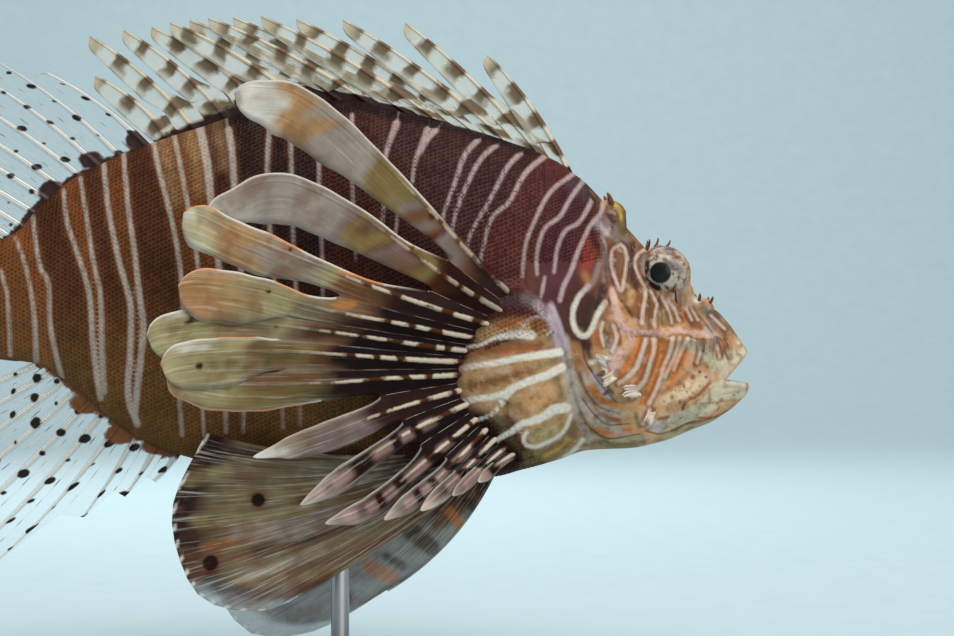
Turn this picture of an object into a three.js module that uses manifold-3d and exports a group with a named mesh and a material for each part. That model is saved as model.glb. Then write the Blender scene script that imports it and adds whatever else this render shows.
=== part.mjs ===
// A red lionfish, life size, held on a display stand by one rod.
// Millimetres, +X towards the snout, +Y towards the fish's left side, +Z up.
// Everything is drawn in the fish's own frame, and the exported group lifts it onto the stand, whose
// underside is Z = 0.
import * as THREE from "three";
import { mergeVertices } from "three/addons/utils/BufferGeometryUtils.js";
import Module from "manifold-3d";

const wasm = await Module();
wasm.setup();

// Driving dimensions
const TAIL_BASE_X = -137;
const SNOUT_X = 134.6;
const TAIL_FIN_LENGTH = 78;
const GAP = 0.3; // between parts that touch
const MEMBRANE = 0.55; // thickness of the fins' skin
const SPECK = 0.03; // shorter edges than this are left by cuts only
const WELD = 1e-4; // places nearer than this are one
const SCRAP = 50; // mm3: cuts leave smaller pieces only where a tip is sliced off
const BEND_START_X = -30; // the tail swings to the left behind this place
const BEND = 0.0008;

const ROD_RADIUS = 3;
const ROD_X = 0;
const BASE_LENGTH = 150;
const BASE_WIDTH = 96;
const BASE_HEIGHT = 8;
const BASE_CORNER = 14;
const BASE_BEVEL = 1.2;
const LIFT = 128; // from the stand's underside up to the fish's own origin

// The fish is drawn as it is seen from its right side at this distance, on a line through this place.
const VIEW_DISTANCE = 744;
const VIEW_X = 45.2;
const VIEW_Z = -5.9;

const lerp = (a, b, t) => a + (b - a) * t;
const clamp01 = (t) => Math.min(1, Math.max(0, t));
const smooth = (a, b, x) => {
  const t = clamp01((x - a) / (b - a));
  return t * t * (3 - 2 * t);
};

// A smooth function through [x, value] points that doesn't overshoot them.
function curve(points) {
  const last = points.length - 1;
  const rise = (i) => (points[i + 1][1] - points[i][1]) / (points[i + 1][0] - points[i][0]);
  const tangents = points.map((_, i) => {
    if (i === 0) return rise(0);
    if (i === last) return rise(last - 1);
    const before = rise(i - 1);
    const after = rise(i);
    return before * after <= 0 ? 0 : (2 * before * after) / (before + after);
  });
  return (x) => {
    let i = 0;
    while (i < last - 1 && x > points[i + 1][0]) i++;
    const width = points[i + 1][0] - points[i][0];
    const t = clamp01((x - points[i][0]) / width);
    const a = points[i][1] + tangents[i] * width * t;
    const b = points[i + 1][1] - tangents[i + 1] * width * (1 - t);
    return lerp(a, b, t * t * (3 - 2 * t));
  };
}

// The body's outline from the side, half-width from above, and the height of its widest line
const back = curve([
  [-137, 17.2], [-125, 18.5], [-112, 21.1], [-100.7, 30.7], [-92, 38.3], [-79, 45.5], [-62.7, 52.1],
  [-46, 57.4], [-27, 63.4], [-13, 66.3], [1.7, 66.3], [15.8, 63.4], [37, 58.1], [58, 51.8], [68.6, 47.5],
  [77, 42.2], [86, 34], [94, 25.1], [101, 17.2], [107, 10.5], [112, 4], [116, -1], [119, -1.2],
  [123, -2.5], [127.4, -6.3], [131, -11], [134.6, -16.5],
]);
const belly = curve([
  [-137, -13.9], [-125, -17.2], [-112, -20.1], [-102, -21.1], [-92, -26.4], [-79, -37], [-66, -46.2],
  [-53.5, -51.2], [-39.6, -54.1], [-13, -57.4], [13, -59.4], [33, -60.1], [49.5, -58.7], [59.4, -56.4],
  [72.6, -52.8], [84, -49.6], [94, -49.2], [105.6, -46.2], [119, -41.9], [127, -37.6], [132, -33.7],
  [134.6, -31],
]);
const halfWidth = curve([
  [-137, 3], [-125, 4.6], [-112, 6.2], [-100, 8.4], [-79, 12.2], [-62, 15.2], [-46, 17.5], [-27, 19.6],
  [0, 21.8], [20, 23], [40, 24], [60, 24.5], [75, 24.2], [86, 22.8], [94, 21.2], [100, 19.8], [107, 18.2],
  [115, 16], [122, 13.5], [128, 10.8], [132, 8], [134.6, 5],
]);
const heart = curve([
  [-137, 1.6], [-112, 0.5], [-79, 2], [-46, 0], [0, -2], [40, -6], [60, -8], [86, -12], [100, -16],
  [115, -20], [128, -22], [134.6, -24],
]);
// The line that the body's rings are drawn round: it comes down to the mouth at the snout.
const ringCentre = curve([
  [-137, 1.6], [-100, 3], [0, 4], [50, -1], [80, -6], [95, -13], [108, -24], [118, -30], [127, -24],
  [134.6, -23.5],
]);
const BACK_ROUNDNESS = 1.9;
const BELLY_ROUNDNESS = 2.2;

// Eyes: the balls, and the mounds of the head that hold them
const EYE = { x: 106.3, y: 10, z: 9.2, radius: 8.5 };
const ORBIT_RADIUS = 10.2;

// Mounds on the flesh, on both sides: centre, radii, tilt about X in degrees, and how softly each one joins
const MOUNDS = [
  {
    at: [EYE.x, EYE.y - 0.6, EYE.z - 0.6], radii: [ORBIT_RADIUS, 7.6, ORBIT_RADIUS], tilt: 0, soft: 4, // eye
  },
  { at: [57, 20.2, -25], radii: [18.5, 7.5, 28], tilt: 10, soft: 5 }, // fleshy root of the pectoral fin
  { at: [87.2, 7.5, 28], radii: [5.2, 2.4, 5.6], tilt: 0, soft: 2 }, // ridge at the nape
  { at: [108, 14.5, -13], radii: [17, 4.2, 2.6], tilt: 0, soft: 3 }, // bony ridge across the cheek
  { at: [119, 4.5, -2.6], radii: [4.2, 3, 3.6], tilt: 0, soft: 2.5 }, // nostril
  { at: [113, 12.8, -31], radii: [8, 4.4, 6.5], tilt: 0, soft: 3 }, // upper jaw's side plate
  { at: [88, 20.5, -12], radii: [15, 4, 19], tilt: 0, soft: 5 }, // gill cover
  { at: [113.8, 6, 0.5], radii: [3, 3.5, 5.5], tilt: 0, soft: 3 }, // skin in front of the eye
];

const softMin = (a, b, k) => {
  const h = Math.max(k - Math.abs(a - b), 0) / k;
  return Math.min(a, b) - (h * h * k) / 4;
};

// The gill cover stands proud of the trunk behind it, and fades out towards the cheek and the nape.
const GILL_STEP = 0.9;
const gillRise = (x, z) => GILL_STEP * smooth(60, 66, x) * (1 - smooth(80, 96, x)) * (1 - smooth(6, 22, z));

// About how far a place is outside the flesh, in mm: negative inside.
function flesh(x, y, z) {
  const side = Math.abs(y);
  const up = z - heart(x);
  const half = up > 0 ? back(x) - heart(x) : heart(x) - belly(x);
  const power = up > 0 ? BACK_ROUNDNESS : BELLY_ROUNDNESS;
  const share = ((side / halfWidth(x)) ** power + (Math.abs(up) / half) ** power) ** (1 / power);
  let far = share < 1e-6 ? -halfWidth(x) : Math.hypot(side, up) * (1 - 1 / share);
  for (const { at, radii, tilt, soft } of MOUNDS) {
    const turn = THREE.MathUtils.degToRad(tilt);
    const dy = side - at[1];
    const dz = z - at[2];
    const [c, s] = [Math.cos(turn), Math.sin(turn)];
    const local = [x - at[0], dy * c - dz * s, dz * c + dy * s];
    const scaled = Math.hypot(local[0] / radii[0], local[1] / radii[1], local[2] / radii[2]);
    const reach = Math.hypot(...local);
    if (scaled > 1e-6) far = softMin(far, reach * (1 - 1 / scaled), soft);
  }
  return far;
}

const FARTHEST = 95; // no place of the flesh is farther than this from the line its rings are drawn round
const HALVINGS = 30;

// The flesh's outermost place on a line from inside it, found by halving.
function surfaceAlong(start, direction, offset = () => 0) {
  let inside = 0;
  let outside = FARTHEST;
  for (let i = 0; i < HALVINGS; i++) {
    const middle = (inside + outside) / 2;
    const p = [0, 1, 2].map((k) => start[k] + direction[k] * middle);
    if (flesh(...p) < offset(p[0], p[2])) inside = middle;
    else outside = middle;
  }
  return inside;
}

// The right or left side of the flesh at a place of its side view: how far out it is.
const sideOf = (x, z) => surfaceAlong([x, 0, z], [0, 1, 0]);

// Closed meshes and solids
function solidOf(geometry) {
  const merged = mergeVertices(stripped(geometry.clone()), WELD);
  return new wasm.Manifold(
    new wasm.Mesh({
      numProp: 3,
      vertProperties: merged.attributes.position.array,
      triVerts: new Uint32Array(merged.index.array),
    }),
  );
}

function stripped(geometry) {
  for (const name of Object.keys(geometry.attributes)) {
    if (name !== "position") geometry.deleteAttribute(name);
  }
  return geometry;
}

const largest = (solid) => solid.decompose().sort((a, b) => b.volume() - a.volume())[0];

const swing = (x) => BEND * Math.max(0, BEND_START_X - x) ** 2;

// Triangles without the specks of edges that cuts leave: each is drawn into one point where that keeps the
// mesh closed.
function withoutSpecks(places, triVerts) {
  const far = (a, b) => Math.hypot(...[0, 1, 2].map((k) => places[3 * a + k] - places[3 * b + k]));
  const count = triVerts.length / 3;
  let triangles = Array.from({ length: count }, (_, i) => [...triVerts.slice(3 * i, 3 * i + 3)]);
  for (;;) {
    const near = new Map();
    for (const corners of triangles) {
      for (const v of corners) {
        if (!near.has(v)) near.set(v, new Set());
        corners.forEach((other) => near.get(v).add(other));
      }
    }
    const edge = triangles
      .flatMap(([a, b, c]) => [[a, b], [b, c], [c, a]])
      .find(([a, b]) => far(a, b) < SPECK && [...near.get(a)].filter((v) => near.get(b).has(v)).length === 4);
    if (!edge) return triangles.flat();
    triangles = triangles
      .map((corners) => corners.map((v) => (v === edge[1] ? edge[0] : v)))
      .filter(([a, b, c]) => a !== b && b !== c && c !== a);
  }
}

// A named mesh from a solid: the tail's swing is put in here, after every cut.
function part(name, solid, material) {
  const { vertProperties, triVerts } = largest(solid).getMesh();
  const places = Float32Array.from(vertProperties);
  for (let i = 0; i < places.length; i += 3) places[i + 1] += swing(places[i]);
  const geometry = new THREE.BufferGeometry()
    .setAttribute("position", new THREE.BufferAttribute(places, 3))
    .setIndex(withoutSpecks(places, triVerts));
  geometry.computeVertexNormals();
  const mesh = new THREE.Mesh(geometry, material);
  mesh.name = name;
  return mesh;
}

// The whole body as one closed mesh of rings, grown by offset(x, z)
const RING_X = [
  -137, -130, -121, -112, -104, -96, -87, -76, -64, -50, -36, -20, -4, 12, 24, 33, 38, 42, 47, 53, 59, 65,
  70, 75, 80, 85, 89, 93, 96.5, 99.5, 102.5, 105.5, 108.5, 111.5, 114.5, 117.5, 120.5, 123.5, 126.5, 129,
  131.5, 133.3, 134.6,
];
const RING_POINTS = 30;

function bodySolid(offset) {
  const places = [];
  const ends = [RING_X[0], RING_X[RING_X.length - 1]];
  for (const station of RING_X) {
    const x = station + (ends.indexOf(station) < 0 ? 0 : Math.sign(station) * offset(station, 0));
    const centre = ringCentre(station);
    const tall = (back(station) - belly(station)) / 2;
    for (let j = 0; j < RING_POINTS; j++) {
      const angle = (2 * Math.PI * j) / RING_POINTS;
      const raw = [halfWidth(station) * Math.sin(angle), tall * Math.cos(angle)];
      const size = Math.hypot(...raw);
      const direction = [0, raw[0] / size, raw[1] / size];
      const reach = surfaceAlong([station, 0, centre], direction, offset);
      places.push(x, direction[1] * reach, centre + direction[2] * reach);
    }
  }
  const faces = [];
  const at = (i, j) => i * RING_POINTS + (j % RING_POINTS);
  for (let i = 0; i < RING_X.length - 1; i++) {
    for (let j = 0; j < RING_POINTS; j++) {
      faces.push(at(i, j), at(i, j + 1), at(i + 1, j), at(i, j + 1), at(i + 1, j + 1), at(i + 1, j));
    }
  }
  ends.forEach((x, e) => {
    const ring = e ? RING_X.length - 1 : 0;
    const middle = places.length / 3;
    places.push(places[3 * at(ring, 0)], 0, ringCentre(x));
    for (let j = 0; j < RING_POINTS; j++) {
      faces.push(...(e ? [middle, at(ring, j), at(ring, j + 1)] : [middle, at(ring, j + 1), at(ring, j)]));
    }
  });
  const geometry = new THREE.BufferGeometry()
    .setAttribute("position", new THREE.Float32BufferAttribute(places, 3))
    .setIndex(faces);
  const made = solidOf(geometry);
  return made.volume() < 0 ? solidOf(flipped(geometry)) : made;
}

function flipped(geometry) {
  const index = geometry.index.array;
  for (let i = 0; i < index.length; i += 3) [index[i + 1], index[i + 2]] = [index[i + 2], index[i + 1]];
  return geometry;
}

const CUT_REACH = 60; // farther to each side than any fin stands out

// A flat outline in the side view, pushed through the body from side to side
function throughBody(outline) {
  const shape = new THREE.Shape(outline.map(([x, z]) => new THREE.Vector2(x, z)));
  const geometry = new THREE.ExtrudeGeometry(shape, { depth: 2 * CUT_REACH, bevelEnabled: false });
  geometry.rotateX(Math.PI / 2).translate(0, CUT_REACH, 0);
  return solidOf(geometry);
}

// A thin cut along a line in the side view
function thinCut(line) {
  const left = [];
  const right = [];
  line.forEach(([x, z], i) => {
    const a = line[Math.max(0, i - 1)];
    const b = line[Math.min(line.length - 1, i + 1)];
    const along = new THREE.Vector2(b[0] - a[0], b[1] - a[1]).normalize().multiplyScalar(GAP / 2);
    left.push([x - along.y, z + along.x]);
    right.unshift([x + along.y, z - along.x]);
  });
  return throughBody([...left, ...right]);
}

const TAIL_STALK_CUT = [[-98, 60], [-101, 20], [-101, -8], [-97, -60]];
const GILL_EDGE = [
  [86, 60], [80, 38], [70, 24], [60.5, 12], [62.5, 5], [68.6, 0.5], [71, -5], [72.3, -12], [73.6, -20],
  [75, -29], [78, -37], [84, -44], [93, -60],
];
const JAW_EDGE = [[126.6, -26.1], [117.8, -33], [110, -35.8], [102, -37.5], [98, -42], [99, -60]];
const GAPE = [[126, -26.1], [140, -11.4], [140, -28.1]];

const plainBody = bodySolid(() => 0);
const gilledBody = bodySolid(gillRise);
const grownBody = bodySolid((x, z) => GAP + gillRise(x, z));

const SPIKE_SIDES = 4;
const FLAP_SIDES = 6;
const EYE_SIDES = 16;
const RIM_SIDES = 14;
const ROLL_SIDES = 5;
const LIP_STEPS = 12;
const LIP_SINK = 0.5;
const FLAP_LIFT = 0.2;
const SPINE_SINK = 2; // spines on the back start at least this far below its outline

// A small cone from inside the flesh to its tip
function spike(root, tip, radius) {
  const from = new THREE.Vector3(...root);
  const to = new THREE.Vector3(...tip);
  const geometry = new THREE.ConeGeometry(radius, from.distanceTo(to), SPIKE_SIDES);
  geometry.applyQuaternion(
    new THREE.Quaternion().setFromUnitVectors(new THREE.Vector3(0, 1, 0), to.clone().sub(from).normalize()),
  );
  return solidOf(geometry.translate(...from.lerp(to, 0.5).toArray()));
}

// A flat-sided flap of skin, an ellipsoid of few sides
function flap(centre, radii, tiltDegrees) {
  const geometry = new THREE.SphereGeometry(1, FLAP_SIDES, 4);
  geometry.scale(...radii);
  geometry.rotateY(THREE.MathUtils.degToRad(tiltDegrees)).translate(...centre);
  return solidOf(geometry);
}

function eyeball(side, radius) {
  const geometry = new THREE.SphereGeometry(radius, EYE_SIDES, 9);
  return solidOf(geometry.translate(EYE.x, side * EYE.y, EYE.z));
}

// A round-sectioned roll of skin along a path of places
function roll(places, radius, steps) {
  const shape = new THREE.Shape().absarc(0, 0, radius, 0, 2 * Math.PI);
  const extrudePath = new THREE.CatmullRomCurve3(places.map((p) => new THREE.Vector3(...p)));
  return solidOf(new THREE.ExtrudeGeometry(shape, { extrudePath, steps, curveSegments: ROLL_SIDES }));
}

// A lip: it follows the mouth's edge in the side view, [x, z] from the corner to the front, on both sides.
function lip(edge, radius) {
  const right = edge.map(([x, z]) => [x, LIP_SINK - sideOf(x, z), z]);
  const left = right.map(([x, y, z]) => [x, -y, z]).reverse();
  const front = [SNOUT_X - LIP_SINK, 0, edge.at(-1)[1]];
  return roll([...right, front, ...left], radius, LIP_STEPS);
}

const UPPER_LIP = {
  edge: [[117, -32.6], [121.5, -29.2], [126, -24.8], [130, -20.6], [133, -17.6]], radius: 1.5,
};
const LOWER_LIP = {
  edge: [[117.5, -34.2], [122, -31], [126.4, -27.9], [130, -28.2], [133, -28.6]], radius: 1.4,
};
const NOSTRIL = { at: [120.4, 6.6, -1.2], radius: 0.8, depth: 2.5, sides: 6, tiltDegrees: 50 };
const ORBIT_RIM = { radius: 8.4, thickness: 1.1, out: 14.6 };

// Spines and flaps of the head, on both sides. A spine has [x, z] of its root and tip, its tip's stand-out,
// and radius.
const HEAD_SPINES = [
  [[101, 16.5], [101.8, 20.6], 0.6, 1.1], [[104, 17.6], [105, 21], 0.6, 1],
  [[107.5, 17.4], [109, 20.4], 0.6, 0.9], [[84.5, 31.5], [81.8, 35.6], 0.8, 1.5],
  [[89.3, 30.5], [87.6, 35], 0.8, 1.5], [[117.5, -1], [118, 2.2], 0.5, 1],
  [[121, -1.5], [122.4, 1.2], 0.5, 0.9], [[87, -22], [83.4, -24.4], 2, 1.2],
  [[89, -28], [85.4, -30.6], 2, 1.1],
];
const HEAD_FLAPS = [
  { at: [88.2, 29.8], radii: [3.4, 1.5, 4.8], tilt: 28, y: 7.6 },
  { at: [88.5, -23.5], radii: [3.6, 1.3, 2], tilt: 35 },
  { at: [96, -30.5], radii: [4.2, 1.3, 2.2], tilt: 20 },
  { at: [102.3, -37.4], radii: [1.8, 1.2, 3.2], tilt: -25 },
  { at: [126.5, -14], radii: [2.2, 1.1, 1.2], tilt: 30 },
];

function headParts(material) {
  const backToFront = (solid) =>
    solid
      .decompose()
      .filter((piece) => piece.volume() > SCRAP)
      .sort((a, b) => a.boundingBox().min[0] - b.boundingBox().min[0]);
  const cuts = [GILL_EDGE, JAW_EDGE].map(thinCut);
  const [stalk, trunk] = backToFront(plainBody.subtract(cuts[0]).subtract(thinCut(TAIL_STALK_CUT)));
  const gaping = gilledBody.subtract(throughBody(GAPE));
  const [, head, jaw] = backToFront(gaping.subtract(cuts[0]).subtract(cuts[1]));
  let dressed = head.add(lip(UPPER_LIP.edge, UPPER_LIP.radius));
  for (const side of [-1, 1]) {
    for (const [root, tip, out, radius] of HEAD_SPINES) {
      const y = side * (sideOf(root[0], Math.min(root[1], back(root[0]) - SPINE_SINK)) - radius);
      const tipY = y + side * (out + radius);
      dressed = dressed.add(spike([root[0], y, root[1]], [tip[0], tipY, tip[1]], radius));
    }
    for (const { at, radii, tilt, y } of HEAD_FLAPS) {
      dressed = dressed.add(flap([at[0], side * (y ?? sideOf(...at) + FLAP_LIFT), at[1]], radii, tilt));
    }
    dressed = dressed.add(orbitRim(side)).subtract(eyeball(side, EYE.radius + GAP)).subtract(nostril(side));
  }
  const lowerJaw = jaw.add(lip(LOWER_LIP.edge, LOWER_LIP.radius));
  return [
    part("head", dressed.subtract(cuts[0]).subtract(cuts[1]), material),
    part("lower_jaw", lowerJaw.subtract(cuts[1]), material),
    part("trunk", trunk, material),
    part("tail_stalk", stalk, material),
  ];
}

function orbitRim(side) {
  const geometry = new THREE.TorusGeometry(ORBIT_RIM.radius, ORBIT_RIM.thickness, 4, RIM_SIDES);
  geometry.rotateX(Math.PI / 2).translate(EYE.x, side * ORBIT_RIM.out, EYE.z);
  return solidOf(geometry);
}

function nostril(side) {
  const { at: [x, y, z], radius, depth, sides, tiltDegrees } = NOSTRIL;
  const geometry = new THREE.CylinderGeometry(radius, radius, 2 * depth, sides);
  geometry.rotateX(-side * THREE.MathUtils.degToRad(tiltDegrees)).translate(x, side * y, z);
  return solidOf(geometry);
}

// One fin ray: a line through its places, or from its root to its tip with a bow within the fin.
function rayPath({ places, root, tip, bow = 0, normal }) {
  if (places) return new THREE.CatmullRomCurve3(places);
  const along = tip.clone().sub(root).normalize();
  const across = normal.clone().cross(along).normalize();
  const bend = root.clone().lerp(tip, 0.5).addScaledVector(across, 2 * bow);
  return new THREE.QuadraticBezierCurve3(root, bend, tip);
}

const FREE_SHARE = 0.86; // a blade fills at most this share of the room up to its neighbour
const TURN_STEPS = 2; // free steps over which a blade takes its twist

// A fin as one closed body. Each ray is a strip of columns: its two edges, and the raised ray between two
// shoulders. Neighbouring strips share an edge as far out as the web reaches; past that each ray is a free
// blade.
function finSolid({ rays, steps, side, shoulders = false }) {
  const places = [];
  const thickness = [];
  const add = (place, thick) => {
    places.push(place);
    thickness.push(thick);
    return places.length - 1;
  };
  const paths = rays.map((ray) => rayPath({ normal: side, ...ray }));
  const toLast = paths.at(-1).getPointAt(0.5).sub(paths[0].getPointAt(0.5));
  const towardsLast = side.clone().cross(paths[0].getTangentAt(0.5)).dot(toLast) > 0;
  const normal = towardsLast ? side : side.clone().negate();
  const webOf = (i) => Math.min(rays[i].web ?? 1, rays[i - 1]?.web ?? 1);
  const faceOf = (i, t) => {
    const along = paths[i].getTangentAt(t);
    const freed = clamp01(((t - webOf(i)) * steps) / TURN_STEPS);
    const turn = THREE.MathUtils.degToRad(rays[i].twist ?? 0) * freed;
    return normal.clone().cross(along).normalize().applyAxisAngle(along, turn);
  };
  const room = (i, t) => {
    const [one, other] = [paths[i], paths[i + 1]];
    return one && other ? one.getPointAt(t).distanceTo(other.getPointAt(t)) / 2 : Infinity;
  };
  // A blade is held clear of its neighbour up to its first free step, where the two aren't yet turned apart.
  const edgeAt = (i, t, full, other) => {
    const web = rays[Math.min(i, other)]?.web ?? 0;
    return t < web + 1.5 / steps ? Math.min(full, FREE_SHARE * room(Math.min(i, other), t)) : full;
  };
  const strips = rays.map((ray, i) => {
    const rows = [];
    for (let k = 0; k <= steps; k++) {
      const t = k / steps;
      const centre = paths[i].getPointAt(t);
      const across = faceOf(i, t);
      const offset = (amount) => centre.clone().addScaledVector(across, amount);
      const half = lerp(ray.rayWidth[0], ray.rayWidth[1], t) / 2;
      const thick = lerp(ray.rayThick[0], ray.rayThick[1], t);
      const [before, after] = ray.blade(t);
      rows.push({
        before: offset(-edgeAt(i, t, before, i - 1)),
        after: offset(edgeAt(i, t, after, i + 1)),
        inner: shoulders
          ? [add(offset(-half), MEMBRANE), add(centre, thick), add(offset(half), MEMBRANE)]
          : [add(centre, thick)],
      });
    }
    return rows;
  });
  strips.forEach((rows, i) => {
    const next = strips[i + 1];
    rows.forEach((row, k) => {
      const t = k / steps;
      const webbed = next && t <= (rays[i].web ?? 1) + 1e-6;
      if (i === 0) row.start = add(row.before, MEMBRANE);
      if (webbed) {
        const sag = (rays[i].sag ?? 0) * Math.max(0, t - 0.5) * 2;
        const middle = places[row.inner.at(-1)].clone().lerp(places[next[k].inner[0]], 0.5);
        middle.lerp(paths[i].getPointAt(0).lerp(paths[i + 1].getPointAt(0), 0.5), sag);
        row.end = add(middle, MEMBRANE);
        next[k].start = row.end;
      } else {
        row.end = add(row.after, MEMBRANE);
        if (next) next[k].start = add(next[k].before, MEMBRANE);
      }
    });
  });
  const faces = [];
  for (const rows of strips) {
    for (let k = 0; k < steps; k++) {
      const here = [rows[k].start, ...rows[k].inner, rows[k].end];
      const there = [rows[k + 1].start, ...rows[k + 1].inner, rows[k + 1].end];
      for (let c = 0; c < here.length - 1; c++) {
        faces.push([here[c], there[c], here[c + 1]], [here[c + 1], there[c], there[c + 1]]);
      }
    }
  }
  return thickened(places, thickness, faces);
}

// A sheet of triangles made a closed body: both faces are split alike, and walls close its free edges.
function thickened(places, thickness, faces) {
  const normals = places.map(() => new THREE.Vector3());
  const edges = new Map();
  for (const [a, b, c] of faces) {
    const cross = places[b].clone().sub(places[a]).cross(places[c].clone().sub(places[a]));
    for (const v of [a, b, c]) normals[v].add(cross);
    for (const [p, q] of [[a, b], [b, c], [c, a]]) {
      if (!edges.delete(q + "," + p)) edges.set(p + "," + q, [p, q]);
    }
  }
  const count = places.length;
  const both = [];
  for (const sign of [1, -1]) {
    places.forEach((p, i) => {
      const n = normals[i].clone().normalize().multiplyScalar((sign * thickness[i]) / 2);
      both.push(p.x + n.x, p.y + n.y, p.z + n.z);
    });
  }
  const index = [];
  for (const [a, b, c] of faces) index.push(a, b, c, count + a, count + c, count + b);
  for (const [p, q] of edges.values()) index.push(q, p, count + p, q, count + p, count + q);
  const geometry = new THREE.BufferGeometry()
    .setAttribute("position", new THREE.Float32BufferAttribute(both, 3))
    .setIndex(index);
  const made = solidOf(geometry);
  return made.volume() < 0 ? solidOf(flipped(geometry)) : made;
}

// A place that the side view shows at x, z, when it is y to the fish's left: nearer places look larger.
function seen(x, y, z) {
  const share = (VIEW_DISTANCE + y) / VIEW_DISTANCE;
  return new THREE.Vector3(VIEW_X + (x - VIEW_X) * share, y, VIEW_Z + (z - VIEW_Z) * share);
}

const UPRIGHT = new THREE.Vector3(0, -1, 0);
const EMBED = 3; // how far a fin's root starts inside the flesh, before it is cut back to the skin
const MIDDLE_FIN_STEPS = 6; // parts along each ray of the fins in the middle plane
const PAIRED_FIN_STEPS = { pectoral: 8, pelvic: 7 };

// Spiny dorsal fin: [root X, tip X, tip Z] of each spine, and the width of the skin that trails behind it
const DORSAL_SPINES = [
  [76.5, 48.5, 80.9], [68, 21.4, 91.7], [58.4, 1, 92.4], [48, -14.5, 93], [37.5, -26, 93.5],
  [27, -35.5, 93.5], [15.8, -43.5, 93], [3, -50, 92.5], [-10.5, -56, 91.5], [-23.5, -62.5, 90.4],
  [-36, -71.5, 89.1], [-46.5, -83.2, 87.5], [-55.5, -81, 73.9],
];
const DORSAL_TRAIL = 6.2;
const DORSAL_WEB = 0.25;

function spinyDorsal() {
  const rays = DORSAL_SPINES.map(([rootX, tipX, tipZ], i) => {
    const lean = i % 2 ? 1.2 : -1.2;
    return {
      root: new THREE.Vector3(rootX, 0, back(rootX) - EMBED),
      tip: new THREE.Vector3(tipX, lean, tipZ),
      bow: -2.4,
      web: DORSAL_WEB,
      rayWidth: [2.2, 0.9],
      rayThick: [2.2, 0.9],
      blade: (t) => {
        const swell = Math.sin(Math.PI * clamp01(t * 0.86 + 0.07)) ** 0.6;
        return [1.3 - 0.8 * t, lerp(1.2, DORSAL_TRAIL, swell)];
      },
    };
  });
  return finSolid({ rays, steps: MIDDLE_FIN_STEPS, side: UPRIGHT });
}

// Soft dorsal and anal fins: [root X, tip X, tip Z] of each ray
const SOFT_DORSAL_RAYS = [
  [-62.5, -97.4, 75.2], [-71.5, -113.9, 79.2], [-78.5, -127.1, 78.5], [-85, -138.6, 74.4],
  [-91, -147.3, 69], [-96, -153, 62], [-100.5, -155.5, 54.5], [-104.5, -154.5, 47], [-108.5, -150, 39.5],
  [-112.5, -142.5, 32.5],
];
const ANAL_RAYS = [
  [-54.1, -61.7, -59.7], [-61.1, -71.3, -65], [-67.7, -85.1, -71.9], [-73.3, -115.5, -87.8],
  [-78.2, -132.7, -93.1], [-82.5, -145.2, -89.1], [-86.5, -152.5, -79.2], [-90.4, -154.4, -66],
  [-94.4, -152.5, -51.2], [-98.3, -146.5, -36.3],
];
const ANAL_SPINES = 3;

function softDorsal() {
  const rays = SOFT_DORSAL_RAYS.map(([rootX, tipX, tipZ]) => ({
    root: new THREE.Vector3(rootX, 0, back(rootX) - EMBED),
    tip: new THREE.Vector3(tipX, 0, tipZ),
    bow: -2,
    sag: 0.06,
    rayWidth: [1.8, 1],
    rayThick: [1.8, 0.9],
    blade: () => [1.4, 1.4],
  }));
  return finSolid({ rays, steps: MIDDLE_FIN_STEPS, side: UPRIGHT, shoulders: true });
}

function analFin() {
  const rays = ANAL_RAYS.map(([rootX, tipX, tipZ], i) => ({
    root: new THREE.Vector3(rootX + EMBED * 0.5, 0, belly(rootX) + EMBED),
    tip: new THREE.Vector3(tipX, 0, tipZ),
    bow: i < ANAL_SPINES ? 0.6 : 2.2,
    sag: i < ANAL_SPINES ? 0.22 : 0.05,
    rayWidth: i < ANAL_SPINES ? [2.2, 0.8] : [1.8, 1],
    rayThick: i < ANAL_SPINES ? [2.2, 0.8] : [1.8, 0.9],
    blade: () => [1.4, 1.4],
  }));
  return finSolid({ rays, steps: MIDDLE_FIN_STEPS, side: UPRIGHT, shoulders: true });
}

// Tail fin: a rounded fan of rays from the end of the stalk
const TAIL_RAYS = 13;
const TAIL_SPREAD_DEGREES = 31;

function tailFin() {
  const rays = Array.from({ length: TAIL_RAYS }, (_, i) => {
    const share = (2 * i) / (TAIL_RAYS - 1) - 1; // 1 at the bottom ray
    const angle = THREE.MathUtils.degToRad(share * TAIL_SPREAD_DEGREES);
    const length = TAIL_FIN_LENGTH * (1 - 0.13 * share ** 2);
    const rootZ = lerp(back(TAIL_BASE_X) - 1.5, belly(TAIL_BASE_X) + 1.5, (share + 1) / 2);
    const root = new THREE.Vector3(TAIL_BASE_X + EMBED, 0, rootZ);
    return {
      root,
      tip: new THREE.Vector3(TAIL_BASE_X - length * Math.cos(angle), 0, rootZ - length * Math.sin(angle)),
      bow: -2.5 * share,
      sag: 0.04,
      rayWidth: [1.8, 1.1],
      rayThick: [2.4, 0.9],
      blade: () => [1.4, 1.4],
    };
  });
  return finSolid({ rays, steps: MIDDLE_FIN_STEPS, side: UPRIGHT, shoulders: true });
}

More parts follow.
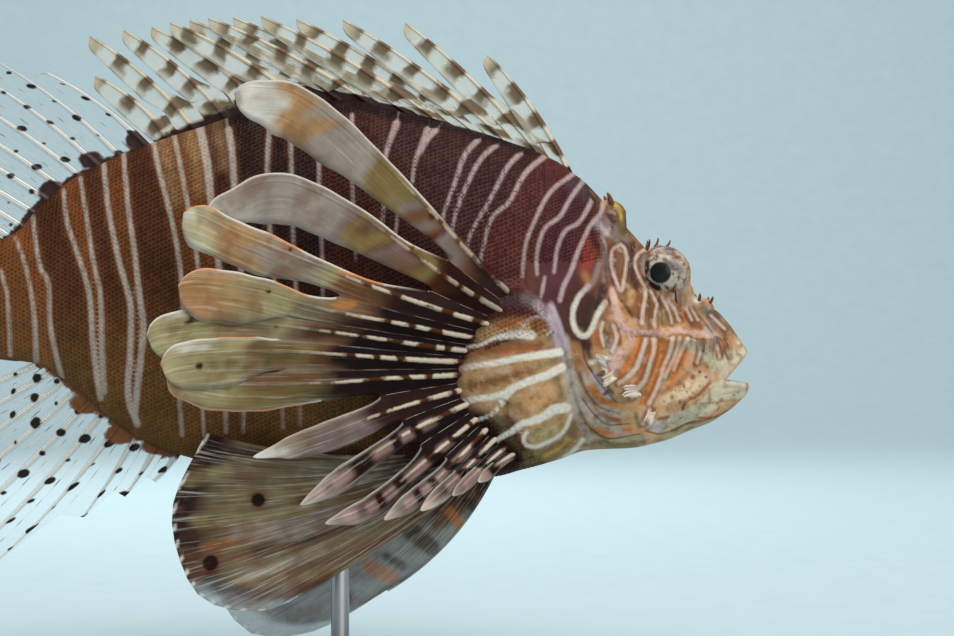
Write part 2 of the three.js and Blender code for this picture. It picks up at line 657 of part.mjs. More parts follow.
// Pectoral fins, ray by ray from the top: the ray's line as [x, z] in the side view from the root to the
// tip, the blade's width at fifths of its length and near the tip, the share that the web reaches, and the
// tip's stand-out.
const PECTORAL_RAYS = [
  {
    line: [[56.8, -1], [31.4, 25.1], [1.7, 51.8], [-16.5, 64.4], [-35, 68.6]],
    wide: [4.2, 9.4, 13.6, 17.2, 13], web: 0.25, out: 27,
  },
  {
    line: [[54.5, -5.9], [26.4, 11.6], [3.3, 26], [-19.8, 35.3], [-43.9, 29]],
    wide: [4.4, 9.6, 13.8, 15.5, 10], web: 0.25, out: 31,
  },
  {
    line: [[50.2, -9.2], [19.8, 0.7], [-8.3, 10.6], [-33, 19.8], [-51.8, 28.7]],
    wide: [3.6, 5.4, 8.5, 13.5, 13.5], web: 0.5, out: 34,
  },
  {
    line: [[45.5, -13.2], [19.8, -8.3], [-6.6, -4], [-31.4, 1.8], [-53.5, 4.6]],
    wide: [3.6, 6, 10.5, 16, 16], web: 0.63, out: 36,
  },
  {
    line: [[42.9, -17.2], [19.8, -14.2], [-6.6, -11.2], [-39.6, -9.2], [-64, -11.6]],
    wide: [4, 7, 12, 16.5, 15], web: 0.63, out: 38,
  },
  {
    line: [[41.6, -20.5], [19.8, -19.8], [-6.6, -18.8], [-39.6, -19.1], [-59.4, -21.1]],
    wide: [4, 7, 12, 16, 14], web: 0.63, out: 38,
  },
  {
    line: [[40.9, -24.4], [19.8, -26.1], [-6.6, -28.4], [-38, -29.4], [-57.4, -26.1]],
    wide: [4, 6, 9.5, 11.5, 9], web: 0.37, out: 37,
  },
  {
    line: [[40.9, -28.7], [28, -33], [14.9, -37], [-6.6, -44.9], [-28.7, -51.8]],
    wide: [4, 6.5, 9.5, 8.5, 5], web: 0.37, out: 27,
  },
  {
    line: [[42.9, -32.5], [19.8, -45.2], [0, -58.7], [-13.2, -67.7]],
    wide: [3.5, 5, 6.5, 8, 5.5], web: 0.37, out: 23,
  },
  {
    line: [[45.5, -36.5], [26.4, -54.4], [9.9, -67.7], [-5, -73.8]],
    wide: [3.5, 5, 7, 7.5, 5.5], web: 0.37, out: 20,
  },
  {
    line: [[48.2, -39.8], [33.5, -57.5], [14.5, -72.5]],
    wide: [3.3, 4.6, 6, 6.5, 5], web: 0.5, out: 17,
  },
  {
    line: [[51.2, -43], [40, -57], [26.5, -69.5]],
    wide: [3, 4, 5, 5.5, 4.5], web: 0.5, out: 14,
  },
  {
    line: [[54.5, -46.3], [46, -56], [37, -64.5]],
    wide: [3, 3.5, 4, 4.5, 4], web: 0.5, out: 11,
  },
  {
    line: [[57.1, -48.8], [51.5, -54.5], [45.5, -60]],
    wide: [3, 3, 3.5, 4, 3.5], web: 0.5, out: 8,
  },
];
const PECTORAL_FLARE_DEGREES = 20;
const PECTORAL_TWIST_DEGREES = 12;
const PECTORAL_SINK = 2.5; // how far inside the flesh's side each ray's line starts
const BILLOW = 0.25; // how much more each ray stands out half way along than a straight one would
const BLADE_BEFORE = 0.4; // share of a blade's width on the leading side of its ray
const BLADE_ENDS = { root: 1.4, tip: 1.6 };
const MIN_BLADE = 0.6;
const LEFT_PECTORAL_DROP_DEGREES = 5;

// Left fins are right ones mirrored and then turned down about their root.
function dropped(place, pivot, degrees) {
  const across = new THREE.Vector3(0, 1, 0);
  const turned = place.clone().sub(pivot).applyAxisAngle(across, THREE.MathUtils.degToRad(-degrees));
  return turned.add(pivot).multiply(new THREE.Vector3(1, -1, 1));
}

// Blade widths before and after the ray's own line, at t from the root
function bladeOf(wide) {
  const shares = [0.2, 0.4, 0.6, 0.8, 0.94];
  const between = shares.map((share, i) => [share, wide[i]]);
  const width = curve([[0, BLADE_ENDS.root], ...between, [1, BLADE_ENDS.tip]]);
  return (t) => [BLADE_BEFORE, 1 - BLADE_BEFORE].map((share) => Math.max(MIN_BLADE, width(t) * share));
}

function pectoralFin(side) {
  const flare = THREE.MathUtils.degToRad(PECTORAL_FLARE_DEGREES);
  const hinge = PECTORAL_RAYS[6].line[0];
  const pivot = seen(hinge[0], -sideOf(...hinge), hinge[1]);
  const rays = PECTORAL_RAYS.map(({ line, wide, web, out }) => {
    const rootY = sideOf(...line[0]) - PECTORAL_SINK;
    const length = line[0][0] - line.at(-1)[0];
    const places = line.map(([x, z], i) => {
      const share = (line[0][0] - x) / length;
      return seen(x + (i ? 0 : EMBED), -(rootY + out * (share + BILLOW * share * (1 - share))), z);
    });
    return {
      places: side < 0 ? places : places.map((p) => dropped(p, pivot, LEFT_PECTORAL_DROP_DEGREES)),
      web,
      twist: side * PECTORAL_TWIST_DEGREES,
      rayWidth: [1.9, 1],
      rayThick: [2, 0.9],
      blade: bladeOf(wide),
    };
  });
  const facing = new THREE.Vector3(Math.sin(flare), side * Math.cos(flare), 0);
  return finSolid({ rays, steps: PAIRED_FIN_STEPS.pectoral, side: facing });
}

// Pelvic fins: tips [x, z] of the spine and the rays as the side view shows them, from the leading edge
// back
const PELVIC_TIPS = [[5, -93], [-24, -102.5], [-45, -99], [-53.5, -84.5], [-55.3, -67.5], [-44.6, -44.5]];
const RIGHT_PELVIC_SPINE_TIP = [-12, -96.5]; // the right fin is spread less than the left one
const PELVIC_ROOTS = [[53.5, -52], [52, -51], [50.5, -50], [49, -49], [47.5, -48], [46, -47]];
const PELVIC_OUT = 15;
const PELVIC_ROOT_Y = 9;
const PELVIC_BOW = { rightFirst: 1, leftFirst: 5, last: 6 };
const PELVIC_FLARE_DEGREES = 10;
const LEFT_PELVIC_DROP_DEGREES = 11;

function pelvicFin(side) {
  const flare = THREE.MathUtils.degToRad(PELVIC_FLARE_DEGREES);
  const pivot = seen(PELVIC_ROOTS[0][0], -PELVIC_ROOT_Y, PELVIC_ROOTS[0][1]);
  const turn = (place) => (side < 0 ? place : dropped(place, pivot, LEFT_PELVIC_DROP_DEGREES));
  const tips = side < 0 ? [RIGHT_PELVIC_SPINE_TIP, ...PELVIC_TIPS.slice(1)] : PELVIC_TIPS;
  const firstBow = side < 0 ? PELVIC_BOW.rightFirst : PELVIC_BOW.leftFirst;
  const rays = tips.map((tip, i) => ({
    root: turn(seen(PELVIC_ROOTS[i][0], -PELVIC_ROOT_Y, PELVIC_ROOTS[i][1])),
    tip: turn(seen(tip[0], -PELVIC_ROOT_Y - PELVIC_OUT, tip[1])),
    bow: -side * lerp(firstBow, PELVIC_BOW.last, i / (tips.length - 1)),
    sag: -0.015,
    rayWidth: [2.2, 1.3],
    rayThick: [2.4, 1],
    blade: () => [1.3, 1.3],
  }));
  const facing = new THREE.Vector3(Math.sin(flare), side * Math.cos(flare), 0);
  return finSolid({ rays, steps: PAIRED_FIN_STEPS.pelvic, side: facing });
}

const rooted = (fin) => fin.subtract(grownBody);

const ROD_SIDES = 16;
const ROD_EMBED = 6; // how far the rod starts inside the belly, before it is cut back to the skin
const CORNER_SEGMENTS = 5;

function standBase(material) {
  const [x, y] = [BASE_LENGTH / 2 - BASE_BEVEL, BASE_WIDTH / 2 - BASE_BEVEL];
  const r = BASE_CORNER - BASE_BEVEL;
  const shape = new THREE.Shape();
  shape.moveTo(-x + r, -y);
  shape.absarc(x - r, -y + r, r, -Math.PI / 2, 0);
  shape.absarc(x - r, y - r, r, 0, Math.PI / 2);
  shape.absarc(-x + r, y - r, r, Math.PI / 2, Math.PI);
  shape.absarc(-x + r, -y + r, r, Math.PI, 1.5 * Math.PI);
  const geometry = new THREE.ExtrudeGeometry(shape, {
    depth: BASE_HEIGHT - 2 * BASE_BEVEL,
    bevelThickness: BASE_BEVEL,
    bevelSize: BASE_BEVEL,
    bevelSegments: 1,
    curveSegments: CORNER_SEGMENTS,
  });
  geometry.translate(ROD_X, 0, -LIFT + BASE_BEVEL);
  return part("stand_base", solidOf(geometry), material);
}

function standRod(material) {
  const bottom = -LIFT + BASE_HEIGHT + GAP;
  const top = belly(ROD_X) + ROD_EMBED;
  const geometry = new THREE.CylinderGeometry(ROD_RADIUS, ROD_RADIUS, top - bottom, ROD_SIDES);
  geometry.rotateX(Math.PI / 2).translate(ROD_X, 0, (top + bottom) / 2);
  return part("stand_rod", rooted(solidOf(geometry)), material);
}

const finish = (color, roughness, metalness = 0) =>
  new THREE.MeshStandardMaterial({ color, roughness, metalness });
const SKIN = finish("#7a4028", 0.55);
const EYE_GLOSS = finish("#151513", 0.15);
const FIN = finish("#b79a80", 0.5);
const CLEAR_FIN = finish("#c8c6bb", 0.45);
const ROD_METAL = finish("#b8b8b6", 0.35, 1);
const BASE_WOOD = finish("#2b2320", 0.45);

const fish = new THREE.Group();
fish.name = "red_lionfish";
fish.add(...headParts(SKIN));
for (const [side, name] of [[-1, "right"], [1, "left"]]) {
  fish.add(part(`eye_${name}`, eyeball(side, EYE.radius), EYE_GLOSS));
  fish.add(part(`pectoral_fin_${name}`, rooted(pectoralFin(side)), FIN));
  fish.add(part(`pelvic_fin_${name}`, rooted(pelvicFin(side)), FIN));
}
fish.add(part("dorsal_spines", rooted(spinyDorsal()), FIN));
fish.add(part("soft_dorsal_fin", rooted(softDorsal()), CLEAR_FIN));
fish.add(part("anal_fin", rooted(analFin()), CLEAR_FIN));
fish.add(part("tail_fin", rooted(tailFin()), CLEAR_FIN));
fish.add(standBase(BASE_WOOD), standRod(ROD_METAL));
fish.position.z = LIFT;

export default fish;
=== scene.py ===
"""A life-size red lionfish with spread fins, held on a display stand.

Shapes are worked out in the fish's own frame: millimetres, +X to the snout, +Y to its left, +Z up.
Markings are placed where the side view from its right shows them, in steps across and down.
"""

import math

import bmesh
import bpy
import numpy as np
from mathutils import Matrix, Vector


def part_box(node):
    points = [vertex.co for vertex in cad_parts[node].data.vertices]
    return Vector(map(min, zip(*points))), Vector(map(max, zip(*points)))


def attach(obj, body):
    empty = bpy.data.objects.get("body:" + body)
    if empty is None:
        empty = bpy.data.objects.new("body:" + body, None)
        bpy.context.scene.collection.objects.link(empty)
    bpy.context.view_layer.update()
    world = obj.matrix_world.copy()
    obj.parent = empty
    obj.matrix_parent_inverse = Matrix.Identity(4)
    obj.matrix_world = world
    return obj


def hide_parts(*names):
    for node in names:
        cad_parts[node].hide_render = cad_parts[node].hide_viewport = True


bl_info = {
    "name": "Red Lionfish Model",
    "version": (1, 0, 0),
    "blender": (4, 5, 0),
    "location": "3D View > Sidebar > Lionfish",
    "description": "A life-size swimming lionfish with spread fins on a display stand",
    "category": "Add Mesh",
}

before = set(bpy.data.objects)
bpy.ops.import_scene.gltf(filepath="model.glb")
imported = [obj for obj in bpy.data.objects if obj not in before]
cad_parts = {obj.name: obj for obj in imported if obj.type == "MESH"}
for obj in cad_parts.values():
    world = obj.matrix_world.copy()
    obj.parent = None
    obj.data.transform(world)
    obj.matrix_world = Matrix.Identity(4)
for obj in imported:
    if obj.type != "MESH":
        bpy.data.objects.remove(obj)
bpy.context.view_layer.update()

# Frame and side view
MM = 0.001
EYE_LOW, EYE_HIGH = (np.array(corner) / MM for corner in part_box("eye_right"))
ROD_LOW, ROD_HIGH = (np.array(corner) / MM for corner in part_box("stand_rod"))
BASE_LOW, BASE_HIGH = (np.array(corner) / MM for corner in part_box("stand_base"))
# How high the fish's own origin stands above the base
LIFT = 128.0
SNOUT_X = 134.6
TAIL_BASE_X = -137.0
# Where the tail's bend starts, and how strong it is
BEND_START_X = -30.0
BEND = 0.0008
# The camera's distance and the place it faces, in the fish's frame
VIEW_DISTANCE = 744.0
VIEW_X = 45.2
VIEW_Z = -5.9
# The side view's steps: a step's length, and where the fish's origin is in them
STEP = 0.33
STEP_ORIGIN = (340.0, 300.0)
# The smallest value that is divided by
TINY = 1e-12
# How far out the flesh's surface is looked for, in how many halvings, and how far strokes are felt
SEARCH_REACH = 95.0
SEARCH_HALVINGS = 26
STROKE_REACH = 12.0
# Parts in which a line is drawn before it is spaced evenly: between two places, and along a bow
CURVE_PARTS = 24
BOW_PARTS = 59


def lerp(a, b, t):
    """From a where t is 0 to b where it is 1."""
    return a + (b - a) * t


def smooth(low, high, x):
    """Rises smoothly from 0 at low to 1 at high."""
    t = np.clip((np.asarray(x, float) - low) / (high - low), 0, 1)
    return t * t * (3 - 2 * t)


def bell(x, wide):
    """1 at 0, falling to almost nothing at twice the width."""
    return np.exp(-((x / wide) ** 2))


def unit(vectors):
    """Vectors made 1 long."""
    return vectors / np.maximum(np.linalg.norm(vectors, axis=-1, keepdims=True), TINY)


def shares(rows):
    """Shares from 0 to 1, one more than the rows between them."""
    return np.linspace(0, 1, rows + 1)


def turns(count):
    """Angles that part a full turn evenly."""
    return 2 * np.pi * np.arange(count) / count


def between(x, xs, rows):
    """Rows read at x, between the ones that stand at xs."""
    return np.stack([np.interp(x, xs, column) for column in np.transpose(rows)], -1)


def curve(points):
    """A smooth function through [x, value] points that doesn't overshoot them."""
    xs, ys = np.array(points, float).T
    rise = np.diff(ys) / np.diff(xs)
    before, after = rise[:-1], rise[1:]
    mean = 2 * before * after / np.where(before + after == 0, 1, before + after)
    tangents = np.concatenate([rise[:1], np.where(before * after > 0, mean, 0), rise[-1:]])

    def value(x):
        i = np.clip(np.searchsorted(xs, x, side="left") - 1, 0, len(xs) - 2)
        width = xs[i + 1] - xs[i]
        t = np.clip((x - xs[i]) / width, 0, 1)
        a = ys[i] + tangents[i] * width * t
        b = ys[i + 1] - tangents[i + 1] * width * (1 - t)
        return lerp(a, b, t * t * (3 - 2 * t))

    return value


# The body's outline from the side, its half-width from above, its widest line, and the line that its rings
# are drawn round
BACK = curve([
    (-137, 17.2), (-125, 18.5), (-112, 21.1), (-100.7, 30.7), (-92, 38.3), (-79, 45.5), (-62.7, 52.1),
    (-46, 57.4), (-27, 63.4), (-13, 66.3), (1.7, 66.3), (15.8, 63.4), (37, 58.1), (58, 51.8), (68.6, 47.5),
    (77, 42.2), (86, 34), (94, 25.1), (101, 17.2), (107, 10.5), (112, 4), (116, -1), (119, -1.2),
    (123, -2.5), (127.4, -6.3), (131, -11), (134.6, -16.5),
])
BELLY = curve([
    (-137, -13.9), (-125, -17.2), (-112, -20.1), (-102, -21.1), (-92, -26.4), (-79, -37), (-66, -46.2),
    (-53.5, -51.2), (-39.6, -54.1), (-13, -57.4), (13, -59.4), (33, -60.1), (49.5, -58.7), (59.4, -56.4),
    (72.6, -52.8), (84, -49.6), (94, -49.2), (105.6, -46.2), (119, -41.9), (127, -37.6), (132, -33.7),
    (134.6, -31),
])
HALF_WIDTH = curve([
    (-137, 3), (-125, 4.6), (-112, 6.2), (-100, 8.4), (-79, 12.2), (-62, 15.2), (-46, 17.5), (-27, 19.6),
    (0, 21.8), (20, 23), (40, 24), (60, 24.5), (75, 24.2), (86, 22.8), (94, 21.2), (100, 19.8), (107, 18.2),
    (115, 16), (122, 13.5), (128, 10.8), (132, 8), (134.6, 5),
])
HEART = curve([
    (-137, 1.6), (-112, 0.5), (-79, 2), (-46, 0), (0, -2), (40, -6), (60, -8), (86, -12), (100, -16),
    (115, -20), (128, -22), (134.6, -24),
])
RING_CENTRE = curve([
    (-137, 1.6), (-100, 3), (0, 4), (50, -1), (80, -6), (95, -13), (108, -24), (118, -30), (127, -24),
    (134.6, -23.5),
])
BACK_ROUNDNESS = 1.9
BELLY_ROUNDNESS = 2.2
# Smallest shares of the way out from the body's axis and from a mound's centre
NEAR_AXIS = 1e-9
NEAR_CENTRE = 1e-6

EYE = (EYE_LOW + EYE_HIGH) / 2 * (1, -1, 1) - (0, 0, LIFT)
EYE_RADIUS = (EYE_HIGH[0] - EYE_LOW[0]) / 2
ORBIT_RADIUS = EYE_RADIUS * 1.2

# Mounds on the flesh, on both sides: centre, radii, tilt about X in degrees, and how softly each one joins
MOUNDS = [
    ((EYE[0] - 0.4, EYE[1] - 0.6, EYE[2] - 0.8), (ORBIT_RADIUS * 0.9, 7.6, ORBIT_RADIUS * 0.92), 0, 4),
    ((57, 20.2, -25), (18.5, 7.5, 28), 10, 5),
    ((88.4, 7.3, 26.6), (6.2, 2.6, 6.4), 0, 2),
    ((113.8, 6, 0.5), (3, 3.5, 5.5), 0, 3),
    ((108, 14.5, -13), (17, 4.2, 2.6), 0, 3),
    ((119, 4.5, -2.6), (4.2, 3, 3.6), 0, 2.5),
    ((113, 12.8, -31), (8, 4.4, 6.5), 0, 3),
    ((88, 20.5, -12), (15, 4, 19), 0, 5),
]


def soft_min(a, b, soft):
    """The lower of two distances, rounded where they are near each other."""
    near = np.maximum(soft - np.abs(a - b), 0) / soft
    return np.minimum(a, b) - near * near * soft / 4


def flesh(places):
    """About how far places are outside the flesh, negative inside."""
    x, y, z = places[..., 0], np.abs(places[..., 1]), places[..., 2]
    middle = HEART(x)
    up = z - middle
    half = np.where(up > 0, BACK(x) - middle, middle - BELLY(x))
    power = np.where(up > 0, BACK_ROUNDNESS, BELLY_ROUNDNESS)
    share = ((y / HALF_WIDTH(x)) ** power + (np.abs(up) / half) ** power) ** (1 / power)
    far = (np.hypot(y, up) + NEAR_AXIS) * (1 - 1 / np.maximum(share, NEAR_AXIS))
    for centre, radii, tilt, soft in MOUNDS:
        turn = math.radians(tilt)
        dy, dz = y - centre[1], z - centre[2]
        local = np.stack([
            x - centre[0],
            dy * math.cos(turn) - dz * math.sin(turn),
            dz * math.cos(turn) + dy * math.sin(turn),
        ], -1)
        scaled = np.maximum(np.linalg.norm(local / radii, axis=-1), NEAR_CENTRE)
        far = soft_min(far, np.linalg.norm(local, axis=-1) * (1 - 1 / scaled), soft)
    return far


def reach_along(start, direction):
    """How far the flesh reaches from places inside it, found by halving."""
    inside = np.zeros(start.shape[:-1])
    outside = np.full(start.shape[:-1], SEARCH_REACH)
    for _ in range(SEARCH_HALVINGS):
        middle = (inside + outside) / 2
        within = flesh(start + direction * middle[..., None]) < 0
        inside = np.where(within, middle, inside)
        outside = np.where(within, outside, middle)
    return inside


def side_of(x, z):
    """How far out the flesh's side is at a place of its side view."""
    start = np.stack(np.broadcast_arrays(x, 0.0, z), -1).astype(float)
    return reach_along(start, np.array((0.0, 1.0, 0.0)))


def swing(x):
    """The tail's bend to the fish's left."""
    return BEND * np.maximum(0, BEND_START_X - x) ** 2


def placed(places):
    """Places of the fish's frame put on the stand, with the tail's bend, in metres."""
    x, y, z = np.moveaxis(np.asarray(places, float), -1, 0)
    return np.stack([x, y + swing(x), z + LIFT], -1) * MM


def side_view(places, folded=True):
    """Where the side view shows places, in steps across and down. Folded, the left is read like the right."""
    x, y, z = np.moveaxis(places, -1, 0)
    share = VIEW_DISTANCE / (VIEW_DISTANCE + (-np.abs(y) if folded else y) + swing(x))
    across = VIEW_X + (x - VIEW_X) * share
    high = VIEW_Z + (z - VIEW_Z) * share
    return STEP_ORIGIN[0] + across / STEP, STEP_ORIGIN[1] - high / STEP


def seen(x, y, z):
    """A place that the side view shows at x, z, when it is y to the fish's left."""
    share = (VIEW_DISTANCE + y) / VIEW_DISTANCE
    return np.array((VIEW_X + (x - VIEW_X) * share, y, VIEW_Z + (z - VIEW_Z) * share))


# Colours
def shade(code):
    """A colour of the palette, given as it looks, in the renderer's linear values."""
    values = np.array([int(code[i : i + 2], 16) for i in (1, 3, 5)]) / 255
    return np.where(values <= 0.04045, values / 12.92, ((values + 0.055) / 1.055) ** 2.4)


PALETTE = {name: shade(code) for name, code in {
    "white": "#e9e5da", "pearl": "#cfcabb", "cream": "#b8ac80", "leaf": "#a09468", "olive": "#7d6a40",
    "dark_olive": "#5e5233", "tan": "#a9855a", "peach": "#b5885a", "orange": "#cf8038", "rust": "#a2562a",
    "umber": "#6b4a33", "plum": "#35201d", "black_plum": "#1e1213", "smoke": "#a09488", "dusk": "#7e716a",
    "mauve": "#7a6560", "lilac": "#a4959a", "pink": "#c49f94", "ink": "#120d0c", "bone": "#bfb59b",
    "maroon": "#451d21", "front": "#371416", "front_low": "#4a1d1c", "deep": "#27100d", "mid": "#3f1813",
    "rear_dark": "#48230f", "rear_light": "#784320", "rear_mid": "#693a18", "belly": "#80592a",
    "nape": "#4d383c", "yellow": "#b08a3c", "moss": "#8b9268", "brown": "#7a4a26", "red": "#7c322a",
    "cheek": "#bf6c2b", "maxilla": "#cbb592", "jaw": "#c2b89a", "line_rear": "#b5a79a",
    "line_front": "#ab9592", "line_root": "#d9d5c8", "line_head": "#cabaad", "drab": "#6d6150",
    "bark": "#4c2716", "ivory": "#cbbca4", "veil": "#a9b8b8", "iris": "#aea291", "face": "#bc8e64",
    "lobe": "#a5845a", "bistre": "#85745a", "frost": "#a3aba6", "sienna": "#95673c",
    "wood_dark": "#1c1310", "wood_light": "#4a3226", "steel_dark": "#8f9092", "steel_light": "#c6c7c8",
    "stage_dark": "#a9bcc1", "stage_light": "#b3c5c9",
}.items()}


def named(names):
    """Colours of the palette by name."""
    return np.array([PALETTE[name] for name in names])


def toned(tone, name, share):
    """A tone blended towards a colour of the palette."""
    return lerp(tone, PALETTE[name], np.asarray(share)[..., None])


def through(places, rows):
    """Evenly spaced places on a smooth line through the given ones."""
    points = np.asarray(places, float)
    ends = np.vstack([2 * points[0] - points[1], points, 2 * points[-1] - points[-2]])
    t = np.linspace(0, 1, CURVE_PARTS, endpoint=False)[:, None]
    drawn = []
    for p0, p1, p2, p3 in zip(ends, ends[1:], ends[2:], ends[3:]):
        d0, d1, d2 = (np.linalg.norm(b - a) ** 0.5 for a, b in ((p0, p1), (p1, p2), (p2, p3)))
        m1 = ((p1 - p0) / d0 - (p2 - p0) / (d0 + d1) + (p2 - p1) / d1) * d1
        m2 = ((p2 - p1) / d1 - (p3 - p1) / (d1 + d2) + (p3 - p2) / d2) * d1
        cubic = (2 * p1 - 2 * p2 + m1 + m2) * t**3
        drawn.append(cubic + (3 * p2 - 3 * p1 - 2 * m1 - m2) * t**2 + m1 * t + p1)
    return even(np.vstack([*drawn, points[-1:]]), rows)


def bowed(root, tip, bow, rows):
    """Evenly spaced places on a bent line from root to tip. bow is the bend's offset."""
    root, tip = np.asarray(root, float), np.asarray(tip, float)
    t = shares(BOW_PARTS)[:, None]
    control = (root + tip) / 2 + 2 * np.asarray(bow)
    return even((1 - t) ** 2 * root + 2 * t * (1 - t) * control + t**2 * tip, rows)


def even(drawn, rows):
    """Evenly spaced places along a drawn line."""
    lengths = np.concatenate([[0], np.cumsum(np.linalg.norm(np.diff(drawn, axis=0), axis=1))])
    return between(np.linspace(0, lengths[-1], rows + 1), lengths, drawn)


# Strokes are half-widths at both ends, then the places along them as steps across and down. One place is a
# dot. First the white lines of the trunk, of the head and of the pectoral fin's root.
TRUNK_LINES = [
    (2.2, 2.4, 0, 270, 6.5, 294, 9, 327, 10, 355),
    (2.0, 3.0, 15, 238, 24, 262, 32.5, 305, 36, 361),
    (2.2, 3.0, 32.5, 216, 35, 240, 41, 270, 47, 279, 50, 327, 61, 377),
    (2.2, 3.4, 63, 190, 67, 223, 80, 262, 89, 294, 93, 349, 100, 398),
    (2.2, 3.0, 80, 178, 87, 223, 93, 262, 100, 294, 102, 349, 104, 392),
    (2.6, 3.6, 103, 160, 108, 208, 119, 262, 130, 305, 130, 349, 128, 398, 137, 424),
    (2.4, 3.8, 123, 152, 128, 208, 134, 251, 139, 294, 143, 327, 139, 370, 134, 414),
    (2.8, 2.2, 152, 136, 160, 175, 171, 218, 180, 268, 183, 330, 179, 390, 182, 435),
    (2.6, 2.0, 172, 127, 182, 175, 189, 214, 197, 260, 203, 330, 202, 407, 204, 435),
    (4.6, 2.2, 198, 120, 207, 164, 211, 203, 218, 260, 224, 330, 225, 400, 226, 432),
    (3.8, 2.0, 225, 112, 232, 153, 234, 190, 240, 260, 243, 340, 243, 432),
    (2.8, 1.8, 271, 110, 267, 165, 272, 260, 280, 340, 283, 428),
    (2.6, 1.8, 290, 108, 291, 165, 294, 260, 299, 340, 300, 425),
    (2.6, 1.8, 318, 104, 319, 174, 322, 260, 326, 400),
    (2.4, 1.6, 352, 102, 352, 180, 356, 260),
    (2.2, 1.6, 385, 190, 382, 230, 384, 262),
    (2.0, 1.5, 400, 200, 395, 236),
    (4.6, 1.8, 400, 106, 396, 124, 388, 146, 384, 166),
    (3.4, 1.8, 430, 118, 424, 138, 416, 158, 412, 182),
    (3.8, 2.6, 443, 122, 428, 138, 420, 152),
    (3.2, 1.6, 484, 134, 466, 153, 455, 182, 445, 209, 440, 228),
    (3.0, 1.6, 504, 140, 484, 155, 468, 182, 455, 216, 450, 240),
    (3.0, 1.6, 527, 147, 508, 166, 497, 186, 489, 201, 470, 235, 466, 250),
    (3.0, 1.6, 546, 155, 526, 172, 508, 203, 493, 216, 482, 253, 480, 268),
    (2.6, 1.8, 573, 174, 551, 191, 535, 220, 526, 243, 522, 277),
    (2.6, 2.0, 584, 180, 570, 199, 560, 216, 545, 228, 537, 253, 537, 274),
    (2.6, 2.0, 593, 197, 587, 210, 578, 223, 566, 230, 558, 246, 554, 272),
    (2.2, 2.8, 604, 203, 600, 214, 591, 224, 585, 236, 577, 254, 571, 272, 564, 285, 560, 300),
    (1.8, 1.8, 545, 277, 541, 297),
]
HEAD_LINES = [
    (3.0, 3.2, 588, 286, 578, 298, 573, 312, 574, 326, 580, 335, 587, 335, 593, 326, 598, 314, 605, 303),
    (1.7, 1.7, 620, 244, 613, 249, 611, 260, 613, 272, 617, 283, 621, 291, 624, 280, 626, 268, 627, 256,
     624, 247, 620, 244), (1.5, 1.2, 645, 249, 638, 254, 635, 262, 637, 272, 641, 280, 645, 287),
    (1.9, 1.7, 646, 290, 645, 300, 643, 310, 642, 323),
    (1.4, 1.4, 651, 291, 655, 299, 657, 305, 655, 315, 655, 326),
    (1.3, 1.0, 662, 298, 667, 306, 671, 318, 672, 323), (1.3, 1.3, 668, 300, 675, 309, 679, 320),
    (1.5, 1.2, 680, 298, 686, 308, 692, 320), (1.1, 0.8, 687, 302, 693, 311, 698, 320),
    (2.3, 1.8, 646, 340, 641, 356, 636, 368, 629, 376, 619, 383),
    (2.1, 1.8, 654, 338, 654, 350, 650, 364, 645, 380, 638, 389, 632, 397),
    (1.7, 1.6, 673, 338, 670, 352, 664, 366, 660, 380, 655, 392, 649, 403),
    (1.5, 1.3, 680, 338, 676, 352, 670, 366, 665, 377), (1.6, 1.3, 688, 338, 682, 350, 677, 362, 674, 370),
    (1.2, 1.1, 700, 343, 700, 352, 697, 363), (1.2, 1.0, 711, 315, 717, 321, 725, 329),
    (1.1, 1.0, 717, 345, 720, 357), (1.6, 1.2, 603, 322, 601, 332, 604, 346),
    (1.6, 1.2, 613, 325, 617, 338, 612, 351), (2.4, 2.2, 590, 363, 600, 361, 606, 372),
    (1.8, 1.0, 650, 410, 643, 424),
]
ROOT_BANDS = [
    (1.8, 2.4, 466, 347, 480, 345, 492, 339, 505, 335), (3.4, 5.0, 500, 337, 515, 334, 531, 335),
    (1.5, 1.5, 521, 330, 527, 321, 535, 317, 545, 318, 550, 323, 551, 330, 547, 335),
    (3.0, 4.4, 462, 368, 480, 365, 500, 362, 520, 358, 540, 355, 560, 352),
    (3.0, 4.6, 458, 403, 475, 399, 500, 395, 515, 387, 535, 379, 550, 374, 562, 367),
    (2.6, 1.6, 512, 391, 503, 402, 492, 414, 478, 420, 465, 430),
    (5.5, 2.0, 566, 408, 555, 409, 545, 416, 533, 421, 522, 424, 512, 431, 500, 438, 490, 447),
    (2.2, 2.2, 571, 415, 567, 426, 560, 435, 548, 442, 535, 447, 525, 444, 524, 436, 527, 432),
    (2.6, 2.2, 583, 440, 572, 452, 558, 462),
]
GILL_EDGE = (530, 262, 526, 285, 546, 304, 557, 329, 565, 354, 571, 380, 578, 405, 590, 428, 613, 445)

